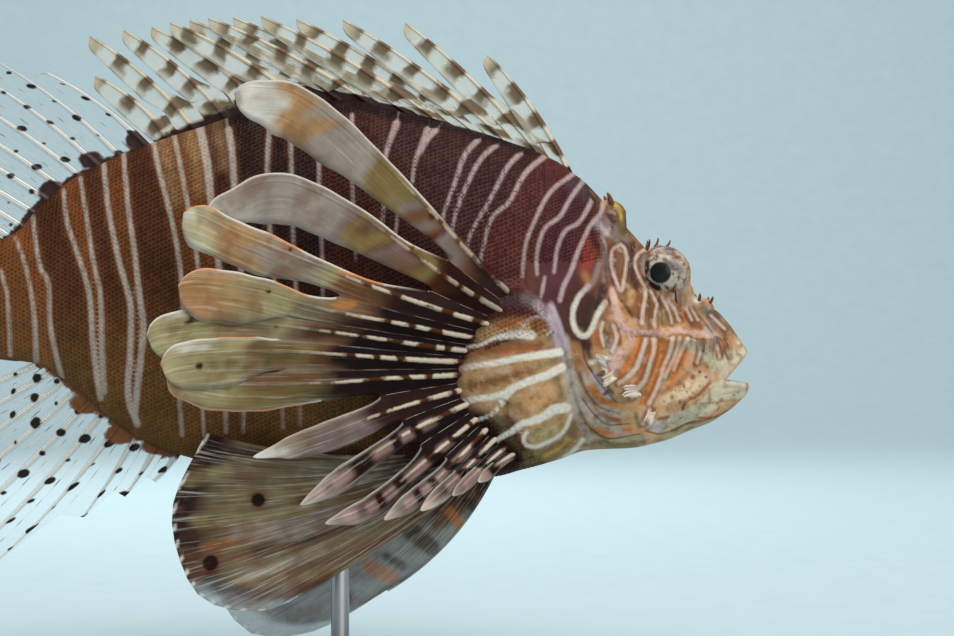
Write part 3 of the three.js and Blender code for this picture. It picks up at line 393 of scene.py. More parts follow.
# Painted areas of trunk, head and the fin's root, in painting order: colour, softness, then a stroke. A dot
# has one half-width.
PAINT = [
    # The first three strokes, tan along the top of the back, are a painted highlight from the light above.
    ("tan", 14, 5, 1, 162, 140, 175, 200), ("tan", 14, 5, 1, 190, 128, 201, 190),
    ("tan", 12, 4, 1, 217, 120, 224, 165), ("maroon", 9, 18, 16, 572, 200, 560, 245, 556, 285),
    ("lobe", 7, 30, 56, 490, 382, 545, 384, 572, 408), ("tan", 6, 8, 8, 482, 334, 515, 327, 540, 330),
    ("dark_olive", 6, 9, 10, 497, 424, 510, 450, 534, 464), ("nape", 5, 6, 6, 570, 182, 588, 196),
    ("sienna", 6, 14, 9, 632, 302, 660, 311, 692, 314), ("brown", 5, 5, 3, 640, 306, 664, 309, 686, 314),
    ("sienna", 6, 9, 7, 600, 340, 604, 362), ("umber", 8, 6, 8, 630, 290, 636, 304),
    ("mauve", 2.5, 9, 7, 601, 223, 617, 235), ("mauve", 2.5, 5, 4, 626, 241, 622, 237),
    ("lilac", 3, 3, 2, 597, 222, 607, 233), ("mauve", 1.8, 3.4, 3, 602, 238, 606, 262, 605, 286),
    ("red", 2.5, 9, 5, 591, 241, 588, 263), ("maroon", 2, 4, 3, 592, 233, 597, 247),
    ("red", 6, 6, 4, 584, 268, 588, 280), ("sienna", 4, 3, 2.5, 585, 275, 589, 284),
    ("mauve", 2.5, 3, 2.6, 600, 262, 594, 280, 587, 289), ("plum", 1.6, 4, 3, 592, 300, 586, 315, 583, 327),
    ("olive", 1.5, 2.4, 581, 331), ("deep", 2, 5, 3, 604, 288, 600, 300, 596, 308),
    ("plum", 2.5, 4.6, 3.6, 632, 246, 632, 270, 636, 288), ("umber", 1.2, 2.8, 2.2, 620, 252, 619, 272),
    ("olive", 1, 1.2, 1, 623, 256, 621, 268), ("maroon", 1.5, 2.2, 2, 610, 266, 614, 284),
    ("brown", 3, 8, 8, 633, 300, 637, 312), ("tan", 2.2, 4, 3, 632, 293, 630, 303),
    ("rust", 1.5, 2, 1.5, 641, 300, 640, 316), ("brown", 1.6, 2.4, 2.2, 651, 303, 649, 329),
    ("plum", 1, 1, 0.8, 652, 289, 659, 303, 660, 312), ("olive", 2, 4.5, 4, 664, 307, 664, 322),
    ("plum", 1, 0.9, 0.8, 667, 308, 671, 321), ("rust", 1.8, 2.8, 2.4, 681, 308, 685, 319),
    ("umber", 1, 0.9, 0.8, 689, 307, 694, 318), ("drab", 4, 4, 3, 706, 312, 718, 326),
    ("tan", 3, 3, 3, 697, 306, 700, 316), ("brown", 3, 4.5, 3.5, 693, 324, 702, 327),
    ("iris", 4, 19, 19, 663, 272), ("face", 3, 5, 4, 683, 256, 689, 276, 690, 292),
    ("umber", 1.5, 1.6, 1.4, 684, 262, 686, 284), ("umber", 1.5, 1.4, 1.4, 652, 247, 676, 249),
    ("brown", 2, 2.4, 2.4, 676, 288, 668, 294), ("mauve", 3, 5, 4, 643, 258, 645, 270),
    ("dusk", 2, 3, 3, 681, 268, 684, 288), ("ink", 1.4, 2.6, 2.8, 644, 278, 651, 284, 658, 287),
    ("dark_olive", 1, 1.2, 1, 641, 252, 640, 268), ("dark_olive", 1.2, 1.6, 1.4, 674, 254, 677, 263),
    ("smoke", 3, 8, 7, 712, 329, 722, 336), ("moss", 1.5, 2, 699, 304),
    ("pearl", 1.8, 3.6, 3, 695, 300, 701, 298), ("rust", 1.5, 2.2, 2, 727, 322, 734, 334),
    ("pearl", 1.5, 2.4, 2, 736, 340, 738, 342), ("brown", 1.5, 2, 2, 718, 338, 725, 343),
    ("pink", 2.5, 3.4, 4.6, 613, 290, 616, 311, 624, 329),
    ("pink", 2, 2.4, 1.6, 624, 330, 640, 331, 656, 333, 676, 330, 692, 332, 708, 336),
    ("pink", 3, 4, 3, 632, 338, 630, 353), ("tan", 3, 10, 12, 603, 332, 606, 350),
    ("brown", 1.5, 3.5, 3, 608, 334, 607, 345), ("brown", 1.5, 2.4, 2.4, 620, 342, 619, 346),
    ("rust", 2, 3.5, 3.5, 597, 332, 598, 350), ("plum", 2, 4.4, 3.6, 587, 345, 590, 356),
    ("pink", 3, 8, 8, 616, 354, 610, 372), ("tan", 3, 12, 14, 640, 350, 670, 372),
    ("cheek", 4, 8, 6, 650, 352, 668, 366, 680, 358),
    ("cheek", 1.5, 5, 3, 640, 341, 635, 354, 626, 367, 621, 377),
    ("cheek", 1.2, 2.4, 2, 650, 353, 643, 369, 635, 386),
    ("cheek", 1.5, 4.5, 3.5, 663, 343, 658, 364, 652, 384, 643, 403),
    ("brown", 1, 1.4, 1.2, 677, 344, 672, 357, 668, 369),
    ("cheek", 1.4, 3, 2.4, 688, 350, 681, 363, 674, 377, 667, 390),
    ("brown", 1.5, 3, 2, 661, 340, 668, 341), ("face", 3, 6, 5, 697, 346, 695, 366),
    ("sienna", 4, 9, 6, 708, 356, 724, 344), ("bone", 4, 5, 4, 716, 366, 734, 352),
    ("cheek", 1.5, 1.8, 1.4, 707, 352, 708, 366), ("brown", 1.2, 1.2, 1, 728, 344, 721, 358),
    ("cheek", 1.5, 2, 1.6, 716, 328, 730, 341), ("bone", 1.5, 1.4, 1.2, 716, 348, 714, 362),
    ("olive", 1.2, 1.8, 1.6, 705, 346, 707, 366), ("olive", 1.2, 1.2, 1.1, 712, 347, 712, 368),
    ("brown", 1.2, 1.2, 1.1, 722, 342, 728, 359), ("bone", 2, 4, 4, 745, 349, 736, 360, 722, 376),
    ("sienna", 3, 3, 3, 662, 392, 680, 382, 694, 366),
    ("maxilla", 2.5, 7.5, 5, 700, 379, 684, 391, 667, 400), ("brown", 1, 2.8, 693, 377),
    ("ink", 1, 1.6, 700, 372), ("ink", 0.8, 1.3, 706, 377), ("ink", 0.8, 1.4, 680, 402),
    ("rust", 1.2, 2.2, 672, 397), ("rust", 1, 1.6, 690, 397), ("brown", 1, 1.5, 684, 386),
    ("umber", 0.8, 1, 676, 391), ("umber", 0.8, 1, 700, 386), ("brown", 0.8, 1.2, 687, 392),
    ("brown", 0.8, 1.2, 664, 401), ("jaw", 3, 9, 8, 738, 390, 716, 398, 700, 410, 680, 420, 656, 424),
    ("bone", 2.5, 3.6, 3.6, 714, 386, 745, 383), ("tan", 1.5, 1.1, 1.1, 702, 404, 736, 400),
    ("rust", 1.2, 1.2, 1.2, 700, 418, 722, 417), ("rust", 1.2, 1.7, 1.4, 658, 419, 668, 417),
    ("brown", 1.4, 1.4, 1.2, 672, 431, 690, 423, 712, 422, 728, 412),
    ("lilac", 3, 4, 4, 650, 426, 660, 428), ("olive", 1.5, 2.6, 2, 636, 414, 639, 427),
    ("leaf", 2, 2.4, 2, 656, 438, 690, 428, 720, 418), ("tan", 4, 14, 12, 590, 395, 622, 420),
    ("smoke", 1.5, 3.4, 3, 563, 340, 566, 360, 572, 386, 584, 410, 600, 428, 622, 438, 645, 438),
    ("brown", 1.2, 2, 1.8, 575, 366, 583, 390, 593, 406, 602, 416, 618, 420),
    ("smoke", 1.2, 2.4, 2.2, 582, 368, 588, 388, 599, 403, 616, 411),
    ("cheek", 1.2, 3, 2.4, 590, 388, 601, 400, 615, 405),
    ("lilac", 2, 4.4, 3.6, 594, 374, 602, 388, 610, 396), ("dark_olive", 1.5, 2, 2, 604, 381, 613, 394),
    ("smoke", 1.2, 2, 2, 602, 411, 622, 416), ("cheek", 1.2, 2.6, 2.4, 597, 430, 611, 434, 630, 430),
    ("leaf", 1.2, 1.8, 1.8, 590, 433, 612, 441, 642, 436),
    ("olive", 1.5, 3, 2.5, 602, 443, 622, 446, 644, 442), ("plum", 1.2, 1, 1, 582, 344, 584, 360, 592, 371),
    ("nape", 4, 7, 7, 503, 298, 530, 301), ("mauve", 4, 5, 5, 526, 298, 548, 313),
    ("lilac", 3.5, 3.5, 5, 536, 303, 553, 324, 560, 352), ("tan", 4, 14, 20, 478, 378, 505, 372, 540, 372),
    ("brown", 2.5, 4.4, 4.4, 472, 352, 500, 350, 540, 345), ("rust", 2.5, 2.4, 2, 500, 352, 535, 349),
    ("brown", 2.5, 4.4, 3.4, 470, 386, 500, 380, 530, 370), ("olive", 2, 2.4, 2.4, 540, 366, 556, 360),
    ("plum", 2, 2, 2, 510, 397, 505, 412, 514, 424), ("brown", 1.8, 6.4, 5, 537, 326, 541, 325),
    ("rust", 2, 2.4, 2, 500, 326, 520, 321), ("peach", 4, 9, 9, 530, 402, 555, 392),
    ("olive", 2.5, 4, 3, 556, 376, 561, 396), ("leaf", 4, 7, 5, 535, 436, 553, 430),
    ("sienna", 5, 8, 6, 572, 350, 586, 364),
    ("dark_olive", 2, 7, 7, 605, 204, 615, 209, 622, 218, 625, 230),
    ("yellow", 1, 0.7, 0.7, 616, 202, 622, 209), ("yellow", 1, 0.8, 0.8, 627, 219, 628, 227),
    ("face", 2.5, 2, 3, 604, 196, 607, 206), ("drab", 4, 5, 4, 704, 308, 718, 318, 726, 334),
    ("jaw", 3, 6, 5, 690, 344, 704, 352, 712, 362), ("ivory", 4, 6, 6, 722, 388, 740, 386),
    ("smoke", 2.5, 3, 3.5, 566, 338, 573, 374, 592, 410, 620, 431),
    ("iris", 3, 5, 4, 676, 256, 682, 270, 680, 286), ("ink", 0.8, 1, 1, 677, 261),
    ("ink", 0.8, 1.2, 1, 680, 273), ("ink", 0.8, 1.2, 1, 676, 285), ("ink", 0.8, 1.1, 1, 684, 284),
    ("ink", 0.8, 1, 1, 668, 250), ("ink", 0.8, 1, 1, 684, 264), ("drab", 2, 2, 1.5, 706, 314, 716, 330),
    ("drab", 2, 1.8, 1.5, 716, 312, 726, 332), ("umber", 1.5, 1, 1, 700, 316, 712, 332),
    ("umber", 1.5, 1.2, 1, 712, 306, 722, 322), ("umber", 2, 2, 2, 604, 330, 610, 346),
    ("tan", 3, 4, 3, 724, 321, 736, 339), ("drab", 1.5, 1.4, 1.2, 721, 314, 733, 333),
    ("tan", 3, 5, 5, 596, 352, 600, 366), ("olive", 2.5, 7, 5, 528, 458, 555, 452, 577, 428),
    ("yellow", 2, 2.4, 2, 545, 456, 570, 440), ("deep", 4, 12, 11, 478, 424, 496, 444, 512, 460),
    ("lilac", 1.8, 3.6, 4.4, 551, 306, 559, 328, 564, 348),
    ("smoke", 1.8, 4, 4, 565, 352, 569, 388, 577, 415, 590, 440),
    ("umber", 1.5, 6, 4.4, 610, 209, 615, 219), ("plum", 1.5, 3, 3, 609, 214, 614, 221),
    ("yellow", 1.2, 1.8, 1.6, 613, 202, 620, 211, 622, 221), ("ink", 0.8, 1.4, 1.2, 612, 227, 612, 230),
    ("peach", 1, 1.8, 1.6, 603, 203, 603, 207),
]
# Folds, negative, and ridges of the skin: height, half-width and places
FOLDS = [
    (-0.75, 1.5, 603, 243, 605, 254, 606, 268, 607, 284), (-0.7, 1.3, 608, 296, 610, 307),
    (-0.5, 1.1, 619, 243, 612, 247, 609, 255, 609, 264),
    (-0.5, 1.2, 623, 242, 628, 248, 629, 262, 628, 280),
    (-0.7, 1.4, 618, 296, 623, 303, 628, 310, 633, 317),
    (-0.55, 1.1, 632, 337, 645, 336, 665, 337, 676, 334, 686, 335, 697, 339, 712, 341),
    (-0.9, 1.3, 711, 383, 704, 391, 697, 397, 689, 401, 684, 406, 682, 411),
    (-0.5, 1.2, 727, 411, 706, 420, 690, 422, 674, 430, 660, 434, 646, 431),
    (-0.5, 1.1, 583, 344, 585, 360, 592, 372, 602, 386, 616, 402),
    (-0.4, 1.1, 579, 372, 587, 392, 598, 406, 620, 414),
    (-0.4, 1.1, 582, 398, 594, 414, 606, 424, 628, 424), (-0.45, 1.1, 590, 428, 606, 438, 640, 434),
    (-0.35, 1.0, 648, 292, 650, 305, 648, 326), (-0.35, 1.0, 659, 296, 662, 308, 662, 326),
    (-0.3, 0.9, 672, 302, 682, 314, 686, 324), (-0.3, 0.9, 706, 306, 714, 308, 726, 321),
    (-0.3, 0.9, 700, 344, 708, 356, 712, 368),
    (0.3, 2.2, 614, 300, 622, 326, 640, 332, 660, 332, 680, 330, 700, 334, 718, 338),
    (0.35, 3.0, 702, 372, 690, 384, 676, 394), (0.35, 1.6, 633, 240, 646, 244, 660, 246),
    (0.4, 2.4, 735, 364, 745, 352), (0.5, 2.4, 722, 384, 736, 385, 748, 388),
    (0.3, 1.6, 660, 424, 690, 414, 716, 410), (-0.25, 1.2, 716, 398, 734, 393, 746, 393),
]
# The nostril's place, the height and width of its rim and the depth and width of its hole
NOSTRIL = (703.0, 304.0)
NOSTRIL_RIM = (0.5, 4)
NOSTRIL_HOLE = (1.4, 1.9)
WHITE_RIDGE = 0.07
GILL_STEP = 0.9
# The opening round the eye: its radius, depth, and the height of the rim
LID_RADIUS = 7.3
LID_DEPTH = 1.4
LID_RIM = 0.3


def far_from(u, v, start, end, *places):
    """Steps from places to a stroke's edge, negative inside it, out to the reach of strokes."""
    line = np.array(places, float).reshape(-1, 2)
    if len(line) == 1:
        line = np.vstack([line, line + 0.01])
    elif len(line) > 2:
        line = through(line, 4 * len(line))
    reach = STROKE_REACH + max(start, end)
    low, high = line.min(0) - reach, line.max(0) + reach
    near = np.nonzero((u > low[0]) & (u < high[0]) & (v > low[1]) & (v < high[1]))
    a, b = u[near], v[near]
    best = np.full(a.shape, STROKE_REACH)
    parts = len(line) - 1
    for k in range(parts if a.size else 0):
        (au, av), (du, dv) = line[k], line[k + 1] - line[k]
        along = np.clip(((a - au) * du + (b - av) * dv) / (du * du + dv * dv), 0, 1)
        half = lerp(start, end, (k + along) / parts)
        best = np.minimum(best, np.hypot(a - au - along * du, b - av - along * dv) - half)
    far = np.full(u.shape, STROKE_REACH)
    far[near] = best
    return far


def nearest(u, v, strokes):
    """Steps to the edge of the nearest stroke."""
    far = np.full(u.shape, STROKE_REACH)
    for stroke in strokes:
        far = np.minimum(far, far_from(u, v, *stroke))
    return far


def in_front(u, v, places, rows):
    """How far in front of an upright line places are, in steps."""
    line = through(np.reshape(places, (-1, 2)), rows)
    return u - np.interp(v, line[:, 1], line[:, 0])


def edge_front(u, v):
    """How far in front of the gill cover's edge places are, in steps."""
    return in_front(u, v, GILL_EDGE, 40)


def relief(places):
    """How far the finished skin stands out from the flesh."""
    u, v = side_view(places)
    side = np.abs(places[..., 1])
    flank = smooth(2, 7, side)
    front = edge_front(u, v)
    gill = smooth(-1.5, 1.5, front) * (1 - smooth(55, 95, front))
    rise = GILL_STEP * (gill * smooth(266, 292, v) * (1 - smooth(438, 450, v)))
    for height, wide, *stroke in FOLDS:
        rise = rise + height * bell(far_from(u, v, 0, 0, *stroke), wide) * flank
    white = np.minimum(nearest(u, v, HEAD_LINES), nearest(u, v, ROOT_BANDS))
    rise = rise + WHITE_RIDGE * (1 - smooth(-1.2, 1.0, white)) * flank
    hole = np.hypot(u - NOSTRIL[0], v - NOSTRIL[1])
    (high, rim_wide), (deep, wide) = NOSTRIL_RIM, NOSTRIL_HOLE
    rise = rise + (high * bell(hole, rim_wide) - deep * bell(hole, wide)) * smooth(2, 4, side)
    x, z = places[..., 0] - EYE[0], places[..., 2] - EYE[2]
    out, turn = np.hypot(x, z), np.arctan2(z, x)
    lid = LID_RADIUS + 0.25 * np.sin(3 * turn + 1) + 0.15 * np.sin(8 * turn)
    rim = LID_RIM * bell(out - lid - 0.9, 0.7) - LID_DEPTH * (1 - smooth(lid - 1.2, lid, out))
    return rise + rim * smooth(6, 10, side)


# Tones of the trunk from the tail forwards, one between each two lines named by their number in TRUNK_LINES
ZONE_LINES = (1, 2, 3, 4, 5, 6, 7, 8, 9, 10, 11, 13, 17, 20, 23, 25)
ZONE_TONES = [
    "rear_mid", "rear_light", "rear_dark", "rear_light", "rear_dark", "rear_mid", "rear_dark", "rear_mid",
    "rear_mid", "mid", "deep", "deep", "mid", "front", "front", "front_low", "mid",
]
# Half the softness between two zones, and the dark band's width along the back
ZONE_BLEND = 7
BACK_BAND = 2.0


def painted(tone, u, v, strokes, strength=0.95):
    """A tone with soft strokes painted over it: each has its colour, softness, half-widths and places."""
    for name, soft, start, *stroke in strokes:
        end, places = (stroke[0], stroke[1:]) if len(stroke) % 2 else (start, stroke)
        share = strength * (1 - smooth(-soft, soft, far_from(u, v, start, end, *places)))
        tone = toned(tone, name, share)
    return tone


def tone_of(u, v):
    """The ground colour at places of the side view."""
    zone = np.zeros(u.shape)
    for number in ZONE_LINES:
        zone += np.clip(in_front(u, v, TRUNK_LINES[number][2:], 24) / ZONE_BLEND + 0.5, 0, 1)
    tone = between(zone, np.arange(len(ZONE_TONES)), named(ZONE_TONES))
    tone = toned(tone, "belly", smooth(270, 410, v) * (1 - smooth(300, 440, u)) * 0.75)
    warm = bell(nearest(u, v, TRUNK_LINES) - 1.6, 1.6) * (1 - smooth(230, 330, u)) * 0.5
    tone = toned(tone, "rear_light", warm)
    tone = toned(tone, "brown", smooth(585, 625, u))
    tone = toned(tone, "face", smooth(590, 618, u) * smooth(284, 304, v))
    tone = painted(tone, u, v, PAINT)
    beside = bell(nearest(u, v, HEAD_LINES) - 1.9, 1.5) * smooth(596, 610, u) * 0.6
    return toned(tone, "bark", beside)


def line_tone(u, v):
    """The white lines' colour: lilac in front, grey at the tail, paler on the head and the fin's root."""
    tone = toned(PALETTE["line_rear"], "line_front", smooth(180, 420, u))
    tone = toned(tone, "line_root", smooth(455, 480, u) * smooth(325, 340, v))
    tone = toned(tone, "line_head", smooth(602, 625, u))
    loop = 1 - smooth(14, 24, np.hypot(u - 586, (v - 318) / 1.4))
    return toned(tone, "pearl", loop)


def markings(places):
    """Colours and distances that the skin and its scales share."""
    u, v = side_view(places)
    x, _, z = np.moveaxis(places, -1, 0)
    under_back = (BACK(x) - z) * (1 - smooth(60, 74, x))
    band = BACK_BAND * (1 + 1.2 * bell(u - 310, 90))
    edge = (1 - smooth(band, band + 2.0, under_back)) * smooth(-112, -100, x)
    edge = edge * (1 - smooth(60, 66, x)) * smooth(200, 240, u)
    line = nearest(u, v, TRUNK_LINES + HEAD_LINES + ROOT_BANDS) * STEP + 1.2 * edge
    # Distances to the deep folds, whose creases get painted shade
    deep = [(0.5, 0.3, *stroke) for height, _, *stroke in FOLDS if height < -0.3]
    return {
        "tone": toned(tone_of(u, v), "black_plum", edge * 0.85), "line_tone": line_tone(u, v),
        "line": line, "fold": nearest(u, v, deep) * STEP,
    }


# Meshes
def build_mesh(name, places, faces, values, material, smooth_faces=True):
    """A mesh object from places in metres, faces of any count, and values at its points."""
    mesh = bpy.data.meshes.new(name)
    mesh.from_pydata(places.tolist(), [], faces)
    for key, value in values.items():
        give_value(mesh, key, value)
    mesh.materials.append(material)
    if smooth_faces:
        mesh.shade_smooth()
    made = bpy.data.objects.new(name, mesh)
    bpy.context.scene.collection.objects.link(made)
    return made


def give_value(mesh, key, value):
    """Stores one value or colour for each point of a mesh."""
    if value.ndim == 2:
        colours = np.concatenate([value, np.ones((len(value), 1))], 1)
        mesh.attributes.new(key, "FLOAT_COLOR", "POINT").data.foreach_set("color", colours.ravel())
    else:
        mesh.attributes.new(key, "FLOAT", "POINT").data.foreach_set("value", value)


def ring_faces(rings, around):
    """Quads between closed rings of points."""
    a = np.arange(rings - 1)[:, None] * around + np.arange(around)
    b = np.arange(rings - 1)[:, None] * around + (np.arange(around) + 1) % around
    return np.stack([a, b, b + around, a + around], -1).reshape(-1, 4)


def tube_faces(rings, around):
    """Quads between closed rings of points, and a cap at both ends."""
    last = (rings - 1) * around
    caps = [list(range(around))[::-1], list(range(last, last + around))]
    return ring_faces(rings, around).tolist() + caps


def ball(angles, radius, around):
    """Rings of a ball, at angles from its axis: along the axis first, then across it."""
    along, across = (radius * np.cos(angles))[:, None], (radius * np.sin(angles))[:, None]
    turn = turns(around)
    rings = [along * np.ones(around), across * np.cos(turn), across * np.sin(turn)]
    return np.stack(rings, -1).reshape(-1, 3)


def dress(piece, slot, *nodes):
    """Every piece rides on the one body and stands for its nodes. Its slot is not used."""
    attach(piece, "root")
    if nodes:
        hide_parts(*nodes)


def inside_ring(x, angles):
    """A ring's centre inside the flesh at x, and directions from it at angles from the top."""
    x = np.asarray(x)[..., None]
    tall = (BACK(x) - BELLY(x)) / 2
    raw = [np.zeros(x.shape) * angles, HALF_WIDTH(x) * np.sin(angles), tall * np.cos(angles)]
    direction = unit(np.stack(raw, -1))
    centre = np.stack([x, np.zeros(x.shape), RING_CENTRE(x)], -1)
    return centre * np.ones_like(direction), direction


def skin_rings(stations, around, depth):
    """Rings of the finished skin in the fish's frame, sunk by depth."""
    start, direction = inside_ring(stations, turns(around))
    places = start + direction * reach_along(start, direction)[..., None]
    along = np.gradient(places, axis=0)
    across = np.roll(places, -1, axis=1) - np.roll(places, 1, axis=1)
    normal = unit(np.cross(across, along))
    normal *= np.sign((normal * direction).sum(-1).mean())
    return places + normal * (relief(places) - depth)[..., None]


# The mouth: the gape's corner and its edges at the snout, and the hollow behind them
GAPE_CORNER = (126.0, -26.1)
GAPE_UPPER = (140.0, -11.4)
GAPE_LOWER = (140.0, -28.1)
GAPE_HALF = 30.0
MOUTH_CENTRE = (117.0, 0.0, -27.0)
MOUTH_RADII = (13.5, 9.0, 3.4)
MOUTH_RINGS = 24
MOUTH_AROUND = 40


def cut_mouth(skin):
    """Opens the gape and the hollow of the mouth."""
    outline = [GAPE_CORNER, GAPE_LOWER, GAPE_UPPER]
    places = [(x, y, z) for y in (-GAPE_HALF, GAPE_HALF) for x, z in outline]
    faces = [(0, 1, 2), (5, 4, 3), (0, 3, 4, 1), (1, 4, 5, 2), (2, 5, 3, 0)]
    material = skin.data.materials[0]
    wedge = build_mesh("gape", placed(places), faces, {}, material, smooth_faces=False)
    angles = np.pi * (np.arange(MOUTH_RINGS) + 0.5) / MOUTH_RINGS
    places = ball(angles, 1.0, MOUTH_AROUND) * MOUTH_RADII + MOUTH_CENTRE
    hollow = build_mesh("hollow", placed(places), tube_faces(MOUTH_RINGS, MOUTH_AROUND), {}, material)
    for cutter in (wedge, hollow):
        outward(cutter)
        cut = skin.modifiers.new("mouth", "BOOLEAN")
        cut.operation = "DIFFERENCE"
        cut.solver = "MANIFOLD"
        cut.object = cutter
        apply_modifiers(skin)
        bpy.data.objects.remove(cutter)


def outward(piece):
    """Turns a closed mesh's faces outwards."""
    work = bmesh.new()
    work.from_mesh(piece.data)
    bmesh.ops.recalc_face_normals(work, faces=work.faces)
    work.to_mesh(piece.data)
    work.free()


def apply_modifiers(piece):
    """Makes a piece's modifiers part of its mesh."""
    evaluated = piece.evaluated_get(bpy.context.evaluated_depsgraph_get())
    mesh = bpy.data.meshes.new_from_object(evaluated)
    piece.modifiers.clear()
    piece.data = mesh


def places_of(mesh):
    """A mesh's places in the fish's frame, before the tail's bend."""
    co = np.zeros(len(mesh.vertices) * 3)
    mesh.vertices.foreach_get("co", co)
    places = co.reshape(-1, 3) / MM
    places[:, 2] -= LIFT
    places[:, 1] -= swing(places[:, 0])
    return places


# Materials
class Wire:
    """One socket of a tree of nodes. Sums and products of wires add Math nodes."""

    def __init__(self, tree, socket):
        self.tree = tree
        self.socket = socket

    def math(self, operation, *others):
        values = dict(enumerate((self, *others)))
        return self.tree.node("ShaderNodeMath", {"operation": operation}, values)

    def __add__(self, other):
        return self.math("ADD", other)

    __radd__ = __add__

    def __mul__(self, other):
        return self.math("MULTIPLY", other)

    __rmul__ = __mul__

    def __sub__(self, other):
        return self.math("SUBTRACT", other)

    def __rsub__(self, other):
        return self.tree.node("ShaderNodeMath", {"operation": "SUBTRACT"}, {0: other, 1: self})

    def __truediv__(self, other):
        return self.math("DIVIDE", other)

    def size(self):
        return self.math("ABSOLUTE")

    def lower(self, other):
        return self.math("MINIMUM", other)

    def off_beat(self):
        """How far a value is from the whole number nearest to it."""
        return self - self.math("ROUND")

    def step(self, low, high):
        """Rises smoothly from 0 at low to 1 at high."""
        values = {"Value": self, "From Min": low, "From Max": high}
        return self.tree.node("ShaderNodeMapRange", {"interpolation_type": "SMOOTHSTEP"}, values)

    def fall(self, low, high):
        """Falls smoothly from 1 at low to 0 at high."""
        return 1 - self.step(low, high)


class Nodes:
    """The nodes of one tree."""

    def __init__(self, tree):
        self.tree = tree

    def node(self, kind, settings=None, values=None, output=0):
        """Any node: its type, its settings, the values or wires of its sockets, and the output used."""
        made = self.tree.nodes.new(kind)
        for key, value in (settings or {}).items():
            setattr(made, key, value)
        for key, value in (values or {}).items():
            if isinstance(value, Wire):
                self.tree.links.new(value.socket, made.inputs[key])
            else:
                made.inputs[key].default_value = value
        return Wire(self, made.outputs[output])


class Finish(Nodes):
    """A new material and its nodes."""

    def __init__(self, name):
        self.material = bpy.data.materials.new(name)
        self.material.use_nodes = True
        super().__init__(self.material.node_tree)
        self.tree.nodes.clear()

    def value(self, name):
        return self.node("ShaderNodeAttribute", {"attribute_name": name}, output="Fac")

    def colour(self, name):
        return self.node("ShaderNodeAttribute", {"attribute_name": name}, output="Color")

    def place(self, scale=None):
        """Where a point of the surface is, in metres or stretched by a scale."""
        place = self.node("ShaderNodeTexCoord", output="Object")
        if scale is None:
            return place
        return self.node("ShaderNodeMapping", None, {"Vector": place, "Scale": scale}, output="Vector")

    def noise(self, vector, scale, detail=2.0, roughness=0.5):
        values = {"Vector": vector, "Scale": scale, "Detail": detail, "Roughness": roughness}
        return self.node("ShaderNodeTexNoise", None, values, output="Fac")

    def mix(self, factor, a, b):
        """Colour a where the factor is 0 and b where it is 1. A name stands for a colour of the palette."""
        settings = {"data_type": "RGBA", "blend_type": "MIX", "clamp_factor": True}
        a, b = (c if isinstance(c, Wire) else (*PALETTE[c], 1.0) for c in (a, b))
        return self.node("ShaderNodeMix", settings, {0: factor, 6: a, 7: b}, output=2)

    def scaled(self, colour, factor):
        """A colour made lighter or darker."""
        values = {0: colour, "Scale": factor}
        return self.node("ShaderNodeVectorMath", {"operation": "SCALE"}, values, output="Vector")

    def bump(self, height, distance, strength=1.0):
        values = {"Height": height, "Distance": distance, "Strength": strength}
        return self.node("ShaderNodeBump", None, values, output="Normal")

    def end(self, **sockets):
        """The surface shader, with its sockets named in plain words."""
        names = {"colour": "Base Color", "coat": "Coat Weight", "specular": "Specular IOR Level"}
        values = {names.get(key, key.replace("_", " ").title()): value for key, value in sockets.items()}
        shader = self.node("ShaderNodeBsdfPrincipled", None, values, output="BSDF")
        made = self.tree.nodes.new("ShaderNodeOutputMaterial")
        self.tree.links.new(shader.socket, made.inputs["Surface"])
        return self.material


def skin_finish(colours, name, scales):
    """Scaled skin: ground tones, soft-edged white lines, painted shade in the folds, and fine mottling."""
    tree = Finish(name)
    where = tree.place()
    cloud = tree.noise(where, 160.0, 4.0, 0.6)
    fine = tree.noise(where, 900.0, 3.0, 0.6)
    wobble = tree.noise(where, 420.0, 2.0)
    patch = tree.noise(where, 55.0, 3.0, 0.55)
    light = 0.62 if scales else 1.0
    tone = tree.scaled(tree.colour("tone"), (patch * 0.7 + cloud * 0.7 + fine * 0.35 + 0.12) * light)
    if not scales:
        mottle = tree.noise(where, 260.0, 4.0, 0.6)
        bare = tree.value("bare")
        tone = tree.mix(mottle.step(0.52, 0.7) * bare * 0.3, tone, "line_head")
        tone = tree.mix(mottle.fall(0.34, 0.52) * bare * 0.6, tone, "umber")
    line = tree.value("line") + (wobble - 0.5) * (0.3 if scales else 0.6)
    white = line.fall(-0.75, 0.5) * (0.5 + cloud * 0.65 + fine * (0.1 if scales else 0.3)).lower(1.0)
    pale = tree.scaled(tree.colour("line_tone"), 0.7 + fine * 0.5)
    colour = tree.mix(white * colours.line_strength, tone, pale)
    # Painted shade: the creases of the deep folds are darkened towards black plum
    fold = tree.value("fold").fall(-0.12, 0.4)
    colour = tree.mix(fold * 0.55, colour, "black_plum")
    if scales:
        colour = tree.scaled(colour, 0.93 + tree.value("rim").step(0.0, 0.8) * 0.12)
    bump = tree.bump(fine + cloud * 0.5, 0.0004, 0.6)
    rough = 0.52 + fine * 0.2
    return tree.end(colour=colour, roughness=rough, normal=bump, specular=0.07 if scales else 0.2)


def mouth_finish():
    """The lining of the mouth."""
    tree = Finish("mouth_lining")
    fold = tree.noise(tree.place(), 350.0, 3.0)
    colour = tree.mix(fold, "umber", "pink")
    normal = tree.bump(fold, 0.0006)
    return tree.end(colour=colour, roughness=0.35, normal=normal, coat=0.4, coat_roughness=0.2)


def flap_finish():
    """The pale, frilled flaps and thorns of the head."""
    tree = Finish("head_flap_skin")
    fine = tree.noise(tree.place(), 500.0, 3.0, 0.6)
    colour = tree.scaled(tree.colour("tone"), 0.35 + fine * 1.1)
    return tree.end(colour=colour, roughness=0.55, normal=tree.bump(fine, 0.0003, 0.5), specular=0.2)


